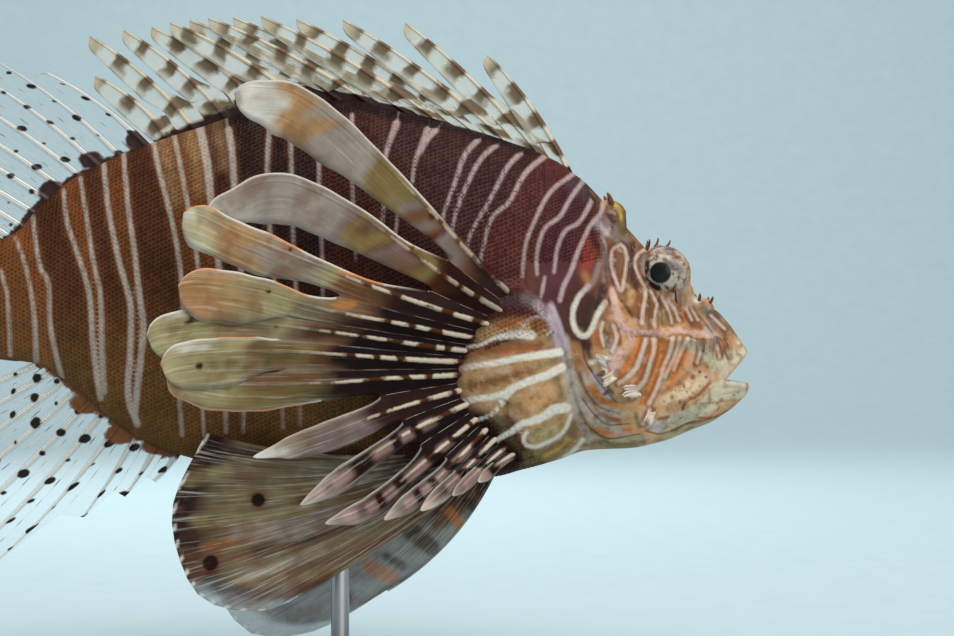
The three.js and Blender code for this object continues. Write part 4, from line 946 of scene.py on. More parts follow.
def blade_finish(name):
    """Pectoral and pelvic fins: toned skin, banded rays, pale leading edges, fine branches and dark spots."""
    tree = Finish(name)
    where = tree.place()
    across, along = tree.value("across"), tree.value("along")
    radius, lead = tree.value("radius"), tree.value("lead")
    cloud = tree.noise(where, 140.0, 3.0, 0.55)
    fine = tree.noise(where, 800.0, 3.0, 0.6)
    threads = {0: across * 0.9, 1: along * 0.03, 2: tree.value("ray")}
    branch = tree.noise(tree.node("ShaderNodeCombineXYZ", None, threads), 1.4, 4.0, 0.65)
    tone = tree.scaled(tree.colour("tone"), 0.28 + cloud * 0.7 + branch * 0.35)
    streak = tree.value("streak")
    tone = tree.mix(branch.step(0.53, 0.68) * streak * 0.6, tone, "pearl")
    tone = tree.mix(branch.fall(0.32, 0.46) * streak * 0.65, tone, "plum")
    mottle = tree.noise(where, 110.0, 3.0, 0.5)
    tone = tree.mix(mottle.step(0.47, 0.66) * (1 - tree.value("banded")) * 0.5, tone, "umber")
    shaft = (across.size() + (fine - 0.5) * 0.9 - radius * 0.9).fall(-0.4, 0.3)
    beat = tree.value("band") + (fine - 0.5) * 0.2 + (cloud - 0.5) * 1.1
    bar = beat.off_beat().size().fall(0.2, 0.4)
    cord = tree.mix(bar, "bark", "ivory")
    cord = tree.mix(tree.value("banded"), tree.mix(0.5, tone, "pearl"), cord)
    colour = tree.mix(shaft * tree.value("shaft"), tone, cord)
    front = (lead + (fine - 0.5) * 0.5).fall(0.15, 0.95) * tree.value("trim_share")
    colour = tree.mix(front, colour, tree.colour("trim"))
    spot = (tree.value("spot") + (fine - 0.5) * 0.8).fall(-0.6, 0.6)
    colour = tree.mix(spot * 0.93, colour, "ink")
    normal = tree.bump(branch * 0.7 + fine * 0.3, 0.0003, 0.5)
    return tree.end(
        colour=colour, roughness=0.5 + fine * 0.2, normal=normal, alpha=tree.value("opacity"), specular=0.04
    )


def spine_finish():
    """Dorsal spines: dark blotches in step along each spine, clear skin between them."""
    tree = Finish("dorsal_spine_skin")
    where = tree.place()
    across, radius = tree.value("across"), tree.value("radius")
    cloud = tree.noise(where, 130.0, 3.0, 0.55)
    fine = tree.noise(where, 600.0, 3.0, 0.6)
    beat = tree.value("band") + (cloud - 0.5) * 0.8 + (fine - 0.5) * 0.1
    blotch = beat.off_beat().size().fall(0.12, 0.32) * (1 - across.step(2.4, 5.4) * 0.7)
    shaft = (across.size() - radius * 0.9).fall(-0.3, 0.2)
    clear = tree.mix(cloud, "cream", "white")
    dark = tree.mix(cloud, "drab", "dark_olive")
    colour = tree.mix(blotch, clear, dark)
    shaft_tone = tree.mix(blotch, "ivory", "umber")
    colour = tree.mix(shaft * 0.85, colour, shaft_tone)
    tip = tree.value("tip")
    colour = tree.mix(tip * 0.8, colour, "bone")
    base = (tree.value("base") + (cloud - 0.5) * 0.5 + (fine - 0.5) * 0.3).step(0.35, 0.65)
    colour = tree.mix(base, colour, "deep")
    margin = tree.value("trail").fall(0.1, 0.7)
    alpha = (0.22 + blotch * 0.72 + shaft * 0.7 + margin * 0.35 + tip * 0.4 + base).lower(1.0)
    normal = tree.bump(fine, 0.0004, 0.5)
    return tree.end(colour=colour, roughness=0.45, normal=normal, alpha=alpha, specular=0.2)


def clear_finish():
    """Soft dorsal, anal and tail fins: clear skin, paired white ray lines, and rows of dark spots."""
    tree = Finish("clear_fin_skin")
    where = tree.place()
    across, radius = tree.value("across"), tree.value("radius")
    fine = tree.noise(where, 500.0, 2.0)
    cloud = tree.noise(where, 120.0, 2.0)
    gap = tree.value("band").off_beat() * tree.value("pitch")
    aside = across - tree.value("aside")
    dot = (gap * gap * 0.8 + aside * aside).math("SQRT") - tree.value("dot") + (fine - 0.5) * 1.1
    spot = dot.fall(-0.3, 0.35)
    thread = across / (radius * 0.85)
    sheath = (across.size() - radius * 1.5).fall(-0.25, 0.25)
    pair = thread.off_beat().size().fall(0.12, 0.34) * sheath
    colour = tree.mix(sheath * 0.7, "veil", "smoke")
    colour = tree.mix(pair, colour, "white")
    colour = tree.mix(spot, colour, "black_plum")
    flesh_share = (tree.value("base") + (cloud - 0.5) * 0.3 + (fine - 0.5) * 0.25).step(0.42, 0.58)
    lobe = tree.scaled(tree.colour("tone"), 0.6 + fine * 0.8)
    colour = tree.mix(flesh_share, colour, lobe)
    alpha = (0.06 + pair * 0.85 + sheath * 0.12 + spot + flesh_share).lower(1.0)
    normal = tree.bump(fine, 0.0003, 0.4)
    return tree.end(colour=colour, roughness=0.35, normal=normal, alpha=alpha, specular=0.25)


def eye_finish():
    """A wet eye: the painted iris and pupil under a gloss coat."""
    tree = Finish("wet_eye")
    where = tree.place()
    fine = tree.noise(where, 1100.0, 4.0, 0.6)
    speck = tree.noise(where, 620.0, 2.0, 0.5)
    tone = tree.mix(speck.fall(0.36, 0.44) * 0.75, tree.colour("tone"), "plum")
    tone = tree.mix(speck.step(0.58, 0.68) * 0.45, tone, "line_head")
    colour = tree.scaled(tone, (0.5 + fine) * tree.value("iris"))
    return tree.end(colour=colour, roughness=0.4, specular=0.2, coat=0.25, coat_roughness=0.12)


def wood_finish():
    """Dark stained wood with grain along X under satin lacquer."""
    tree = Finish("stained_wood")
    long_grain = tree.place((6.0, 60.0, 60.0))
    grain = tree.noise(long_grain, 4.0, 6.0, 0.65)
    pores = tree.noise(long_grain, 22.0, 3.0, 0.6)
    stripe = (grain * 9.0 + pores * 0.4).off_beat().size() * 2.0
    colour = tree.mix(stripe * 0.7 + pores * 0.25, "wood_dark", "wood_light")
    return tree.end(
        colour=colour, roughness=0.34 + pores * 0.2, normal=tree.bump(pores + stripe * 0.3, 0.0002, 0.4),
        coat=0.35, coat_roughness=0.2,
    )


def steel_finish():
    """Brushed steel, its lines running round the rod."""
    tree = Finish("brushed_steel")
    brush = tree.noise(tree.place((8.0, 8.0, 900.0)), 6.0, 4.0, 0.6)
    colour = tree.mix(brush, "steel_dark", "steel_light")
    return tree.end(
        colour=colour, metallic=1.0, roughness=0.24 + brush * 0.2, normal=tree.bump(brush, 0.0001, 0.3)
    )


def stage_finish():
    """The pale, matt floor and backdrop."""
    tree = Finish("pale_backdrop")
    grain = tree.noise(tree.place(), 60.0, 3.0)
    colour = tree.mix(grain, "stage_dark", "stage_light")
    return tree.end(colour=colour, roughness=0.9, specular=0.1)


# Scales: a curved plate with a lighter free edge, one to each point. Rows across it are given as how far
# along it they are, half-width and height.
PLATE_ROWS = ((-0.5, 0.4, -0.12), (0.05, 0.56, 0.03), (0.55, 0.46, 0.08), (0.82, 0.2, 0.06))
# How far the middle of a plate stands above its sides, and the lip's depth and taper
PLATE_CROWN = 0.1
LIP_DEPTH = 0.3
LIP_TAPER = 0.94
# Where a plate starts to lighten to its free edge, and over what length
RIM_START = -0.5
RIM_LENGTH = 1.3


def scale_plate():
    """One scale, 1 mm long: rows across it from its root to its free edge, and a lip down to the skin."""
    places = []
    for along, half, high in PLATE_ROWS:
        side = high - PLATE_CROWN
        places += [(along, -half, side), (along, 0, high), (along, half, side)]
    last = len(places) - 3
    faces = [(a, a + 3, a + 4, a + 1) for k in range(0, last, 3) for a in (k, k + 1)]
    rim = [last - 3, last, last + 1, last + 2, last - 1]
    lip = range(len(places), len(places) + len(rim))
    places += [(places[k][0] * LIP_TAPER, places[k][1] * LIP_TAPER, places[k][2] - LIP_DEPTH) for k in rim]
    faces += zip(rim, lip, lip[1:], rim[1:])
    return places, faces


NECK_X = 68.0
NAPE_END_X = 86.0
# Samples round a row of scales, and the bare strip at the middle of back and belly
ROW_SAMPLES = 160
ROW_MARGIN = 0.3
# How far apart places are for the skin's normal
NORMAL_STEP = 0.4
# The bare root of the pectoral fin
FIN_ROOT = (34, 64, 490, 384, 545, 386, 575, 405)


def scaly(roots):
    """Whether scales grow at places: behind the gill cover and on the nape, off the fin's root and folds."""
    u, v = side_view(roots)
    behind = (edge_front(u, v) < -1.5) | (v < GILL_EDGE[1])
    bare = nearest(u, v, [FIN_ROOT, *((1.6, 1.6, *stroke) for _, _, *stroke in FOLDS)]) < 0
    return behind & ~bare


def scale_points(stations, pitch, side):
    """Roots of scales on one side in staggered rows, with the row spacing measured along the skin."""
    angles = np.pi * (np.arange(ROW_SAMPLES) + 0.5) / ROW_SAMPLES
    roots = []
    for number, x in enumerate(stations):
        start, direction = inside_ring(x, angles)
        ring = start + direction * reach_along(start, direction)[:, None]
        lengths = np.concatenate([[0], np.cumsum(np.linalg.norm(np.diff(ring, axis=0), axis=1))])
        anchor = np.interp(-HEART(x), -ring[:, 2], lengths)
        first, last = math.ceil(-anchor / pitch), math.floor((lengths[-1] - anchor) / pitch)
        where = anchor + (np.arange(first, last + 1) + 0.5 * (number % 2)) * pitch
        where = where[(where > ROW_MARGIN) & (where < lengths[-1] - ROW_MARGIN)]
        roots.append(between(where, lengths, ring))
    return np.vstack(roots) * (1, side, 1)


def on_skin(roots, depth):
    """Roots put on the finished skin, with its normal and the direction of the tail, all as placed."""
    def at(shift):
        moved = roots + shift
        centre = np.stack([moved[:, 0], 0 * moved[:, 0], RING_CENTRE(moved[:, 0])], -1)
        direction = unit((moved - centre) * (0, 1, 1))
        flat = centre + direction * reach_along(centre, direction)[:, None]
        return flat, direction

    flat, direction = at(np.zeros(3))
    towards = unit(np.cross((1.0, 0.0, 0.0), direction))
    behind, _ = at(np.array((-NORMAL_STEP, 0, 0)))
    beside, _ = at(towards * NORMAL_STEP)
    rough_normal = unit(np.cross(beside - flat, behind - flat))
    rough_normal *= np.sign((rough_normal * direction).sum(1))[:, None]
    lifted = [p + rough_normal * (relief(p) - depth)[:, None] for p in (flat, behind, beside)]
    here, back, over = (placed(p) / MM for p in lifted)
    tail = unit(back - here)
    normal = unit(np.cross(over - here, tail))
    normal *= np.sign((normal * rough_normal).sum(1))[:, None]
    return here, tail, normal


def scale_tree(group_name):
    """Nodes that set one plate on each point, turned to its facing and tail attributes."""
    group = bpy.data.node_groups.new(group_name, "GeometryNodeTree")
    sockets = {
        "Points": ("Geometry", None), "Plate": ("Object", None), "Size": ("Float", 1.0),
        "Size Variation": ("Float", 0.15), "Height": ("Float", 1.0), "Seed": ("Int", None),
        "Material": ("Material", None),
    }
    for label, (kind, default) in sockets.items():
        socket = group.interface.new_socket(label, in_out="INPUT", socket_type="NodeSocket" + kind)
        if default is not None:
            socket.default_value = default
    group.interface.new_socket("Scales", in_out="OUTPUT", socket_type="NodeSocketGeometry")
    tree = Nodes(group)
    outputs = group.nodes.new("NodeGroupInput").outputs
    given = {label: Wire(tree, outputs[label]) for label in sockets}
    facing, tail, size = (
        tree.node("GeometryNodeInputNamedAttribute", {"data_type": kind}, {"Name": name}, "Attribute")
        for name, kind in (("facing", "FLOAT_VECTOR"), ("tail", "FLOAT_VECTOR"), ("size", "FLOAT"))
    )
    axes = {"primary_axis": "Z", "secondary_axis": "X"}
    turn = tree.node("FunctionNodeAxesToRotation", axes, {0: facing, 1: tail})
    vary = given["Size Variation"]
    limits = {"Min": 1 - vary, "Max": 1 + vary, "Seed": given["Seed"]}
    drawn = tree.node("FunctionNodeRandomValue", {"data_type": "FLOAT"}, limits, "Value")
    whole = drawn * given["Size"] * size
    scale = tree.node("ShaderNodeCombineXYZ", None, {0: whole, 1: whole, 2: whole * given["Height"]})
    plate = tree.node("GeometryNodeObjectInfo", None, {"Object": given["Plate"]}, "Geometry")
    on_points = {"Points": given["Points"], "Instance": plate, "Rotation": turn, "Scale": scale}
    spread = tree.node("GeometryNodeInstanceOnPoints", None, on_points)
    real = tree.node("GeometryNodeRealizeInstances", None, {"Geometry": spread})
    finish = {"Geometry": real, "Material": given["Material"]}
    scales = tree.node("GeometryNodeSetMaterial", None, finish)
    group.links.new(scales.socket, group.nodes.new("NodeGroupOutput").inputs["Scales"])
    return group


def set_input(modifier, label, value):
    """Sets a modifier's named input by its socket's identifier."""
    for item in modifier.node_group.interface.items_tree:
        if item.in_out == "INPUT" and item.name == label:
            modifier[item.identifier] = value
            return
    raise RuntimeError(f"the node tree has no input named {label}")


# The bake map's margin at both ends, and the size of one scale's patch of it
BAKE_MARGIN = 0.01
BAKE_PATCH = 0.0021


def unwrap(roots):
    """The skin's own shape laid flat: along the body, and round it, each from 0 to 1."""
    x, y, z = np.moveaxis(roots, -1, 0)
    along = (x - TAIL_BASE_X) / (SNOUT_X - TAIL_BASE_X)
    around = np.arctan2(y, z - RING_CENTRE(x)) / (2 * np.pi) + 0.5
    return np.stack([along, around], -1) * (1 - 2 * BAKE_MARGIN) + BAKE_MARGIN


def grow_scales(name, roots, sizes, group, plate, settings, material):
    """One piece of the coat: plates on their roots, with markings and the bake map."""
    here, tail, normal = on_skin(roots, settings.depth / MM)
    points = bpy.data.meshes.new(name + "_roots")
    points.from_pydata((here * MM).tolist(), [], [])
    for key, value in (("facing", normal), ("tail", tail)):
        points.attributes.new(key, "FLOAT_VECTOR", "POINT").data.foreach_set("vector", value.ravel())
    give_value(points, "size", sizes * MM)
    piece = bpy.data.objects.new(name, points)
    bpy.context.scene.collection.objects.link(piece)
    modifier = piece.modifiers.new("scales", "NODES")
    modifier.node_group = group
    for label, value in (
        ("Plate", plate), ("Size", settings.size), ("Size Variation", settings.variation),
        ("Height", settings.height), ("Seed", settings.seed), ("Material", material),
    ):
        set_input(modifier, label, value)
    apply_modifiers(piece)
    mesh = piece.data
    corners = len(plate.data.vertices)
    places = places_of(mesh)
    for key, value in markings(places).items():
        give_value(mesh, key, value)
    local = np.array([vertex.co[:] for vertex in plate.data.vertices])
    rim = np.clip((local[:, 0] - RIM_START) / RIM_LENGTH, 0, 1)
    give_value(mesh, "rim", np.tile(rim, len(roots)))
    loops = np.zeros(len(mesh.loops), int)
    mesh.loops.foreach_get("vertex_index", loops)
    centre = unwrap(roots)[loops // corners]
    patch = centre + local[loops % corners][:, :2] * BAKE_PATCH
    mesh.uv_layers.new(name="OFBake").data.foreach_set("uv", patch.ravel())
    mesh.shade_smooth()
    return piece


# Fins
# Columns of places to each side of a ray: over its cord in radii, and from there to the blade's edge
CORD_SHARES = (0.35, 0.7, 1.0, 1.2)
WEB_SHARES = (0.3, 0.55, 0.8, 1.0)


def comb(rays, rows, side, pleat=0.0, curl=0.0, membrane=0.13, notch=0.14, flat=1.0):
    """A fin's sheet of quads. Rays that share a web meet half way; past the web each is a free blade."""
    t = shares(rows)
    paths = [ray["path"] for ray in rays]
    to_last = paths[-1][rows // 2] - paths[0][rows // 2]
    tangents = [unit(np.gradient(path, axis=0)) for path in paths]
    normal = np.asarray(side, float)
    if np.dot(np.cross(normal, tangents[0][rows // 2]), to_last) < 0:
        normal = -normal
    columns = 2 * (len(CORD_SHARES) + len(WEB_SHARES)) + 1
    places, values, quads = [], {}, []
    count, previous = 0, None
    for i, ray in enumerate(rays):
        across = unit(np.cross(normal, tangents[i]))
        if "shift" in ray:
            paths[i] = paths[i] - across * ray["shift"][:, None]
        outwards = unit(np.cross(tangents[i], across))
        outwards *= np.sign((outwards @ np.asarray(side, float)).mean())
        halves, reaches = {}, {}
        for sign, other, full in ((-1, i - 1, ray["before"]), (1, i + 1, ray["after"])):
            free = paths[i] + across * (sign * full)[:, None]
            if 0 <= other < len(rays):
                web = rays[min(i, other)]["web"]
                room = np.linalg.norm(paths[other] - paths[i], axis=1) / 2
                middle = (paths[i] + paths[other]) / 2
                sag = rays[min(i, other)].get("sag", 0.0) * np.maximum(0, t - 0.5) * 2
                middle = lerp(middle, (paths[i][0] + paths[other][0]) / 2, sag[:, None])
                fold = pleat * np.minimum(1, room / 3) * (1 - smooth(0.5, 0.9, t))
                middle = middle - outwards * fold[:, None]
                inside = np.minimum(room * 0.96, np.maximum(full, room * 0.5))
                wide = lerp(inside, full, smooth(web, web + 0.2, t))
                free = paths[i] + across * (sign * wide)[:, None]
                past = np.clip((t - web) / notch, 0, 1)
                edge = lerp(middle, free, np.sqrt(1 - (1 - past) ** 2)[:, None])
            else:
                web, edge = -1.0, free
            halves[sign] = edge
            reaches[sign] = web
        radius = ray["radius"]
        strip = []
        for sign in (-1, 1):
            span = halves[sign] - paths[i]
            width = np.linalg.norm(span, axis=1)
            inner = np.minimum(radius * CORD_SHARES[-1] / np.maximum(width, 1e-6), 0.6)
            fractions = [inner * share / CORD_SHARES[-1] for share in CORD_SHARES]
            fractions += [lerp(inner, 1.0, share) for share in WEB_SHARES]
            thicks = [flat * radius * math.sqrt(1 - (share * 0.93) ** 2) for share in CORD_SHARES[:3]]
            thicks = [np.maximum(thick, membrane) for thick in thicks]
            thicks += [lerp(thicks[-1], membrane, 0.7)] + [np.full(rows + 1, membrane)] * len(WEB_SHARES)
            lift = -curl * np.minimum(1, width / 8) * smooth(reaches[sign], reaches[sign] + notch, t)
            side_columns = [
                (paths[i] + span * f[:, None] + outwards * (lift * f**2)[:, None], sign * width * f, thick)
                for f, thick in zip(fractions, thicks)
            ]
            strip.append(side_columns[::sign])
        line = (paths[i], np.zeros(rows + 1), np.maximum(flat * radius, membrane))
        grid, offset, thick = (np.stack(column, 1) for column in zip(*strip[0], line, *strip[1]))
        ids = count + np.arange((rows + 1) * columns).reshape(rows + 1, columns)
        count += ids.size
        if previous is not None:
            shared = t <= rays[i - 1]["web"] + TINY
            ids[shared, 0] = previous[shared, -1]
        previous = ids
        quads.append(np.stack([ids[:-1, :-1], ids[1:, :-1], ids[1:, 1:], ids[:-1, 1:]], -1).reshape(-1, 4))
        places.append(grid.reshape(-1, 3))
        length = np.linalg.norm(np.diff(paths[i], axis=0), axis=1).sum()
        row = {
            "across": offset, "lead": offset - offset[:, :1], "trail": offset[:, -1:] - offset,
            "half": thick, "t": t[:, None], "along": (t * length)[:, None], "ray": float(i),
            "radius": radius[:, None],
        }
        for key, value in row.items():
            values.setdefault(key, []).append((value + 0 * offset).ravel())
    places, quads = np.vstack(places), np.vstack(quads)
    values = {key: np.concatenate(value) for key, value in values.items()}
    used, inverse = np.unique(quads, return_inverse=True)
    return places[used], inverse.reshape(quads.shape), {key: value[used] for key, value in values.items()}


def thickened(sheet, half, quads):
    """A sheet made a closed body, with walls along its free edges."""
    corners = sheet[quads]
    cross = np.cross(corners[:, 2] - corners[:, 0], corners[:, 3] - corners[:, 1])
    normals = np.zeros_like(sheet)
    for k in range(4):
        np.add.at(normals, quads[:, k], cross)
    normals = unit(normals) * half[:, None]
    count = len(sheet)
    edges = np.vstack([quads[:, [k, (k + 1) % 4]] for k in range(4)])
    rim = edges[~np.isin(edges[:, 0] * count + edges[:, 1], edges[:, 1] * count + edges[:, 0])]
    walls = np.stack([rim[:, 1], rim[:, 0], rim[:, 0] + count, rim[:, 1] + count], -1)
    return np.vstack([sheet + normals, sheet - normals]), np.vstack([quads, quads[:, ::-1] + count, walls])


def fin_piece(name, sheet, quads, half, values, material, slot, node):
    """A finished fin from its sheet, with its faces outwards."""
    places, faces = thickened(sheet, half, quads)
    both = {key: np.concatenate([value, value]) for key, value in values.items()}
    piece = build_mesh(name, placed(places), faces.tolist(), both, material)
    outward(piece)
    dress(piece, slot, node)
    return piece


# Pectoral fins, ray by ray from the top: line in the side view, blade widths at fifths, the web's share and
# how far the tip stands out
PECTORAL_RAYS = [
    ([(56.8, -1), (31.4, 25.1), (1.7, 51.8), (-16.5, 64.4), (-35, 68.6)],
     (4.2, 9.4, 13.6, 17.2, 13), 0.25, 27),
    ([(54.5, -5.9), (26.4, 11.6), (3.3, 26), (-19.8, 35.3), (-43.9, 29)],
     (4.4, 9.6, 13.8, 15.5, 10), 0.25, 31),
    ([(50.2, -9.2), (19.8, 0.7), (-8.3, 10.6), (-33, 19.8), (-51.8, 28.7)],
     (3.6, 5.4, 8.5, 13.5, 13.5), 0.5, 34),
    ([(45.5, -13.2), (19.8, -8.3), (-6.6, -4), (-31.4, 1.8), (-53.5, 4.6)],
     (3.6, 6, 10.5, 16, 16), 0.63, 36),
    ([(42.9, -17.2), (19.8, -14.2), (-6.6, -11.2), (-39.6, -9.2), (-64, -11.6)],
     (4, 7, 12, 16.5, 15), 0.63, 38),
    ([(41.6, -20.5), (19.8, -19.8), (-6.6, -18.8), (-39.6, -19.1), (-59.4, -21.1)],
     (4, 7, 12, 16, 14), 0.63, 38),
    ([(40.9, -24.4), (19.8, -26.1), (-6.6, -28.4), (-38, -29.4), (-57.4, -26.1)],
     (4, 6, 9.5, 11.5, 9), 0.37, 37),
    ([(40.9, -28.7), (28, -33), (14.9, -37), (-6.6, -44.9), (-28.7, -51.8)],
     (4, 6.5, 9.5, 8.5, 5), 0.37, 27),
    ([(42.9, -32.5), (19.8, -45.2), (0, -58.7), (-13.2, -67.7)],
     (3.5, 5, 6.5, 8, 5.5), 0.37, 23),
    ([(45.5, -36.5), (26.4, -54.4), (9.9, -67.7), (-5, -73.8)],
     (3.5, 5, 7, 7.5, 5.5), 0.37, 20),
    ([(48.2, -39.8), (33.5, -57.5), (14.5, -72.5)],
     (3.3, 4.6, 6, 6.5, 5), 0.5, 17),
    ([(51.2, -43), (40, -57), (26.5, -69.5)],
     (3, 4, 5, 5.5, 4.5), 0.5, 14),
    ([(54.5, -46.3), (46, -56), (37, -64.5)],
     (3, 3.5, 4, 4.5, 4), 0.5, 11),
    ([(57.1, -48.8), (51.5, -54.5), (45.5, -60)],
     (3, 3, 3.5, 4, 3.5), 0.5, 8),
]
# Tones from root to tip of each pectoral ray. The last row serves the short rays below.
PECTORAL_TONES = [
    "0 deep .15 plum .2 umber .27 dusk .31 bark .37 umber .42 dusk .47 olive .56 olive .6 smoke "
    ".75 smoke .79 tan .87 peach .92 pearl 1 white",
    "0 plum .2 deep .27 bark .32 olive .385 umber .43 mauve .49 umber .52 olive .57 olive .6 dusk .66 smoke "
    ".73 smoke .9 smoke 1 pearl",
    "0 black_plum .34 plum .43 umber .5 brown .56 leaf .63 dusk .7 smoke .79 tan .87 peach .93 cream 1 pearl",
    "0 black_plum .36 black_plum .46 umber .55 bistre .64 leaf .74 leaf .84 tan .92 peach 1 peach",
    "0 black_plum .4 black_plum .5 umber .58 bistre .64 leaf .7 bistre .78 leaf .9 leaf 1 cream",
    "0 black_plum .42 black_plum .53 umber .6 olive .67 dark_olive .74 leaf .85 leaf 1 cream",
    "0 black_plum .45 black_plum .56 dark_olive .72 olive .86 leaf 1 leaf",
    "0 black_plum .42 plum .56 mauve .8 dusk .93 pearl 1 white",
    "0 black_plum .5 black_plum .7 deep .8 mauve .9 smoke 1 pearl",
]
# Soft blotches on the pectoral rays: ray, place, radii, tone
PECTORAL_BLOTCHES = [
    (0, 392, 156, 13, 8, "olive"), (0, 436, 206, 8, 5, "rust"), (0, 316, 101, 12, 7, "tan"),
    (1, 374, 214, 12, 7, "tan"), (2, 294, 246, 13, 6, "orange"), (2, 350, 271, 14, 6, "orange"),
    (3, 196, 280, 17, 13, "peach"), (3, 345, 304, 14, 5, "orange"), (4, 178, 312, 12, 7, "white"),
    (4, 232, 338, 24, 6, "rust"), (5, 185, 346, 26, 7, "white"), (5, 236, 366, 30, 7, "dark_olive"),
    (6, 290, 378, 44, 8, "umber"), (6, 188, 384, 20, 8, "peach"),
]
# Dark spots on the pectoral rays: ray, place and radius
PECTORAL_SPOTS = [
    (0, 431, 217, 3.4), (0, 474, 258, 3.0), (1, 356, 219, 3.2), (1, 412, 247, 2.0), (3, 268, 291, 2.6),
    (4, 192, 320, 3.4), (4, 199, 317, 3.0), (4, 186, 322, 2.6), (4, 276, 327, 2.0), (5, 199, 367, 4.6),
    (6, 199, 367, 4.6), (2, 290, 249, 2.2), (5, 255, 306, 2.0),
]
# The two broad rays on top, and the long ones with them. The rest are short.
UPPER_RAYS = 2
LONG_RAYS = 7
PECTORAL_FLARE = math.radians(20)
# How much the blades billow outwards, and how deep the fins' roots go into the flesh
BILLOW = 0.25
EMBED = 3.0
ROOT_SUNK = 2.5
LEFT_PECTORAL_DROP = math.radians(5)
LEFT_PELVIC_DROP = math.radians(11)
PECTORAL_ROWS = 84
# A distance in steps with no spot in reach
NO_SPOT = 9.0


def dropped(places, pivot, angle):
    """Left fins: right ones turned down about their root and mirrored."""
    away = places - pivot
    c, s = math.cos(angle), math.sin(angle)
    turned = np.stack([away[:, 0] * c - away[:, 2] * s, away[:, 1], away[:, 0] * s + away[:, 2] * c], -1)
    return (turned + pivot) * (1, -1, 1)


def ray_tones(stops, t):
    """Tones along a ray, from a list of shares of its length and the tone at each."""
    words = stops.split()
    return between(t, [float(word) for word in words[::2]], named(words[1::2]))


def round_tip(t, share):
    """Narrows a blade to a round end over its last share."""
    return np.sqrt(np.maximum(0.0, 1 - np.clip((t - 1 + share) / share, 0, 1) ** 2))


def pectoral_rays():
    """The right pectoral fin's rays."""
    t = shares(PECTORAL_ROWS)
    rays = []
    for number, (line, wide, web, out) in enumerate(PECTORAL_RAYS):
        root_y = side_of(*line[0]) - ROOT_SUNK
        length = line[0][0] - line[-1][0]
        places = []
        for k, (x, z) in enumerate(line):
            share = (line[0][0] - x) / length
            depth = root_y + out * (share + BILLOW * share * (1 - share))
            places.append(seen(x + (0 if k else EMBED), -depth, z))
        ends = (0, 0.2, 0.4, 0.6, 0.8, 0.94, 1)
        width = curve(list(zip(ends, (1.4, *wide, wide[4] * 0.8))))(t)
        ragged = 1 + 0.03 * np.sin(31 * t + 2 * number) + 0.02 * np.sin(67 * t + number)
        tip = 0.3 if number >= LONG_RAYS else min(0.12, wide[4] * 0.6 / (length + 20))
        width = width * lerp(1, ragged, smooth(0.4, 0.9, t)) * round_tip(t, tip)
        aside = 0.24 if number < UPPER_RAYS else 0.12 if number < LONG_RAYS else 0.0
        shift = aside * smooth(0.05, 0.35, t) * width
        rays.append({
            "path": through(places, PECTORAL_ROWS), "web": web, "shift": shift,
            "before": np.maximum(0.2, width * 0.4 - shift), "after": np.maximum(0.2, width * 0.6 + shift),
            "radius": np.maximum(0.22, lerp(0.95, 0.32, t**0.7) * np.minimum(1, width / 3 + 0.2)),
        })
    return rays


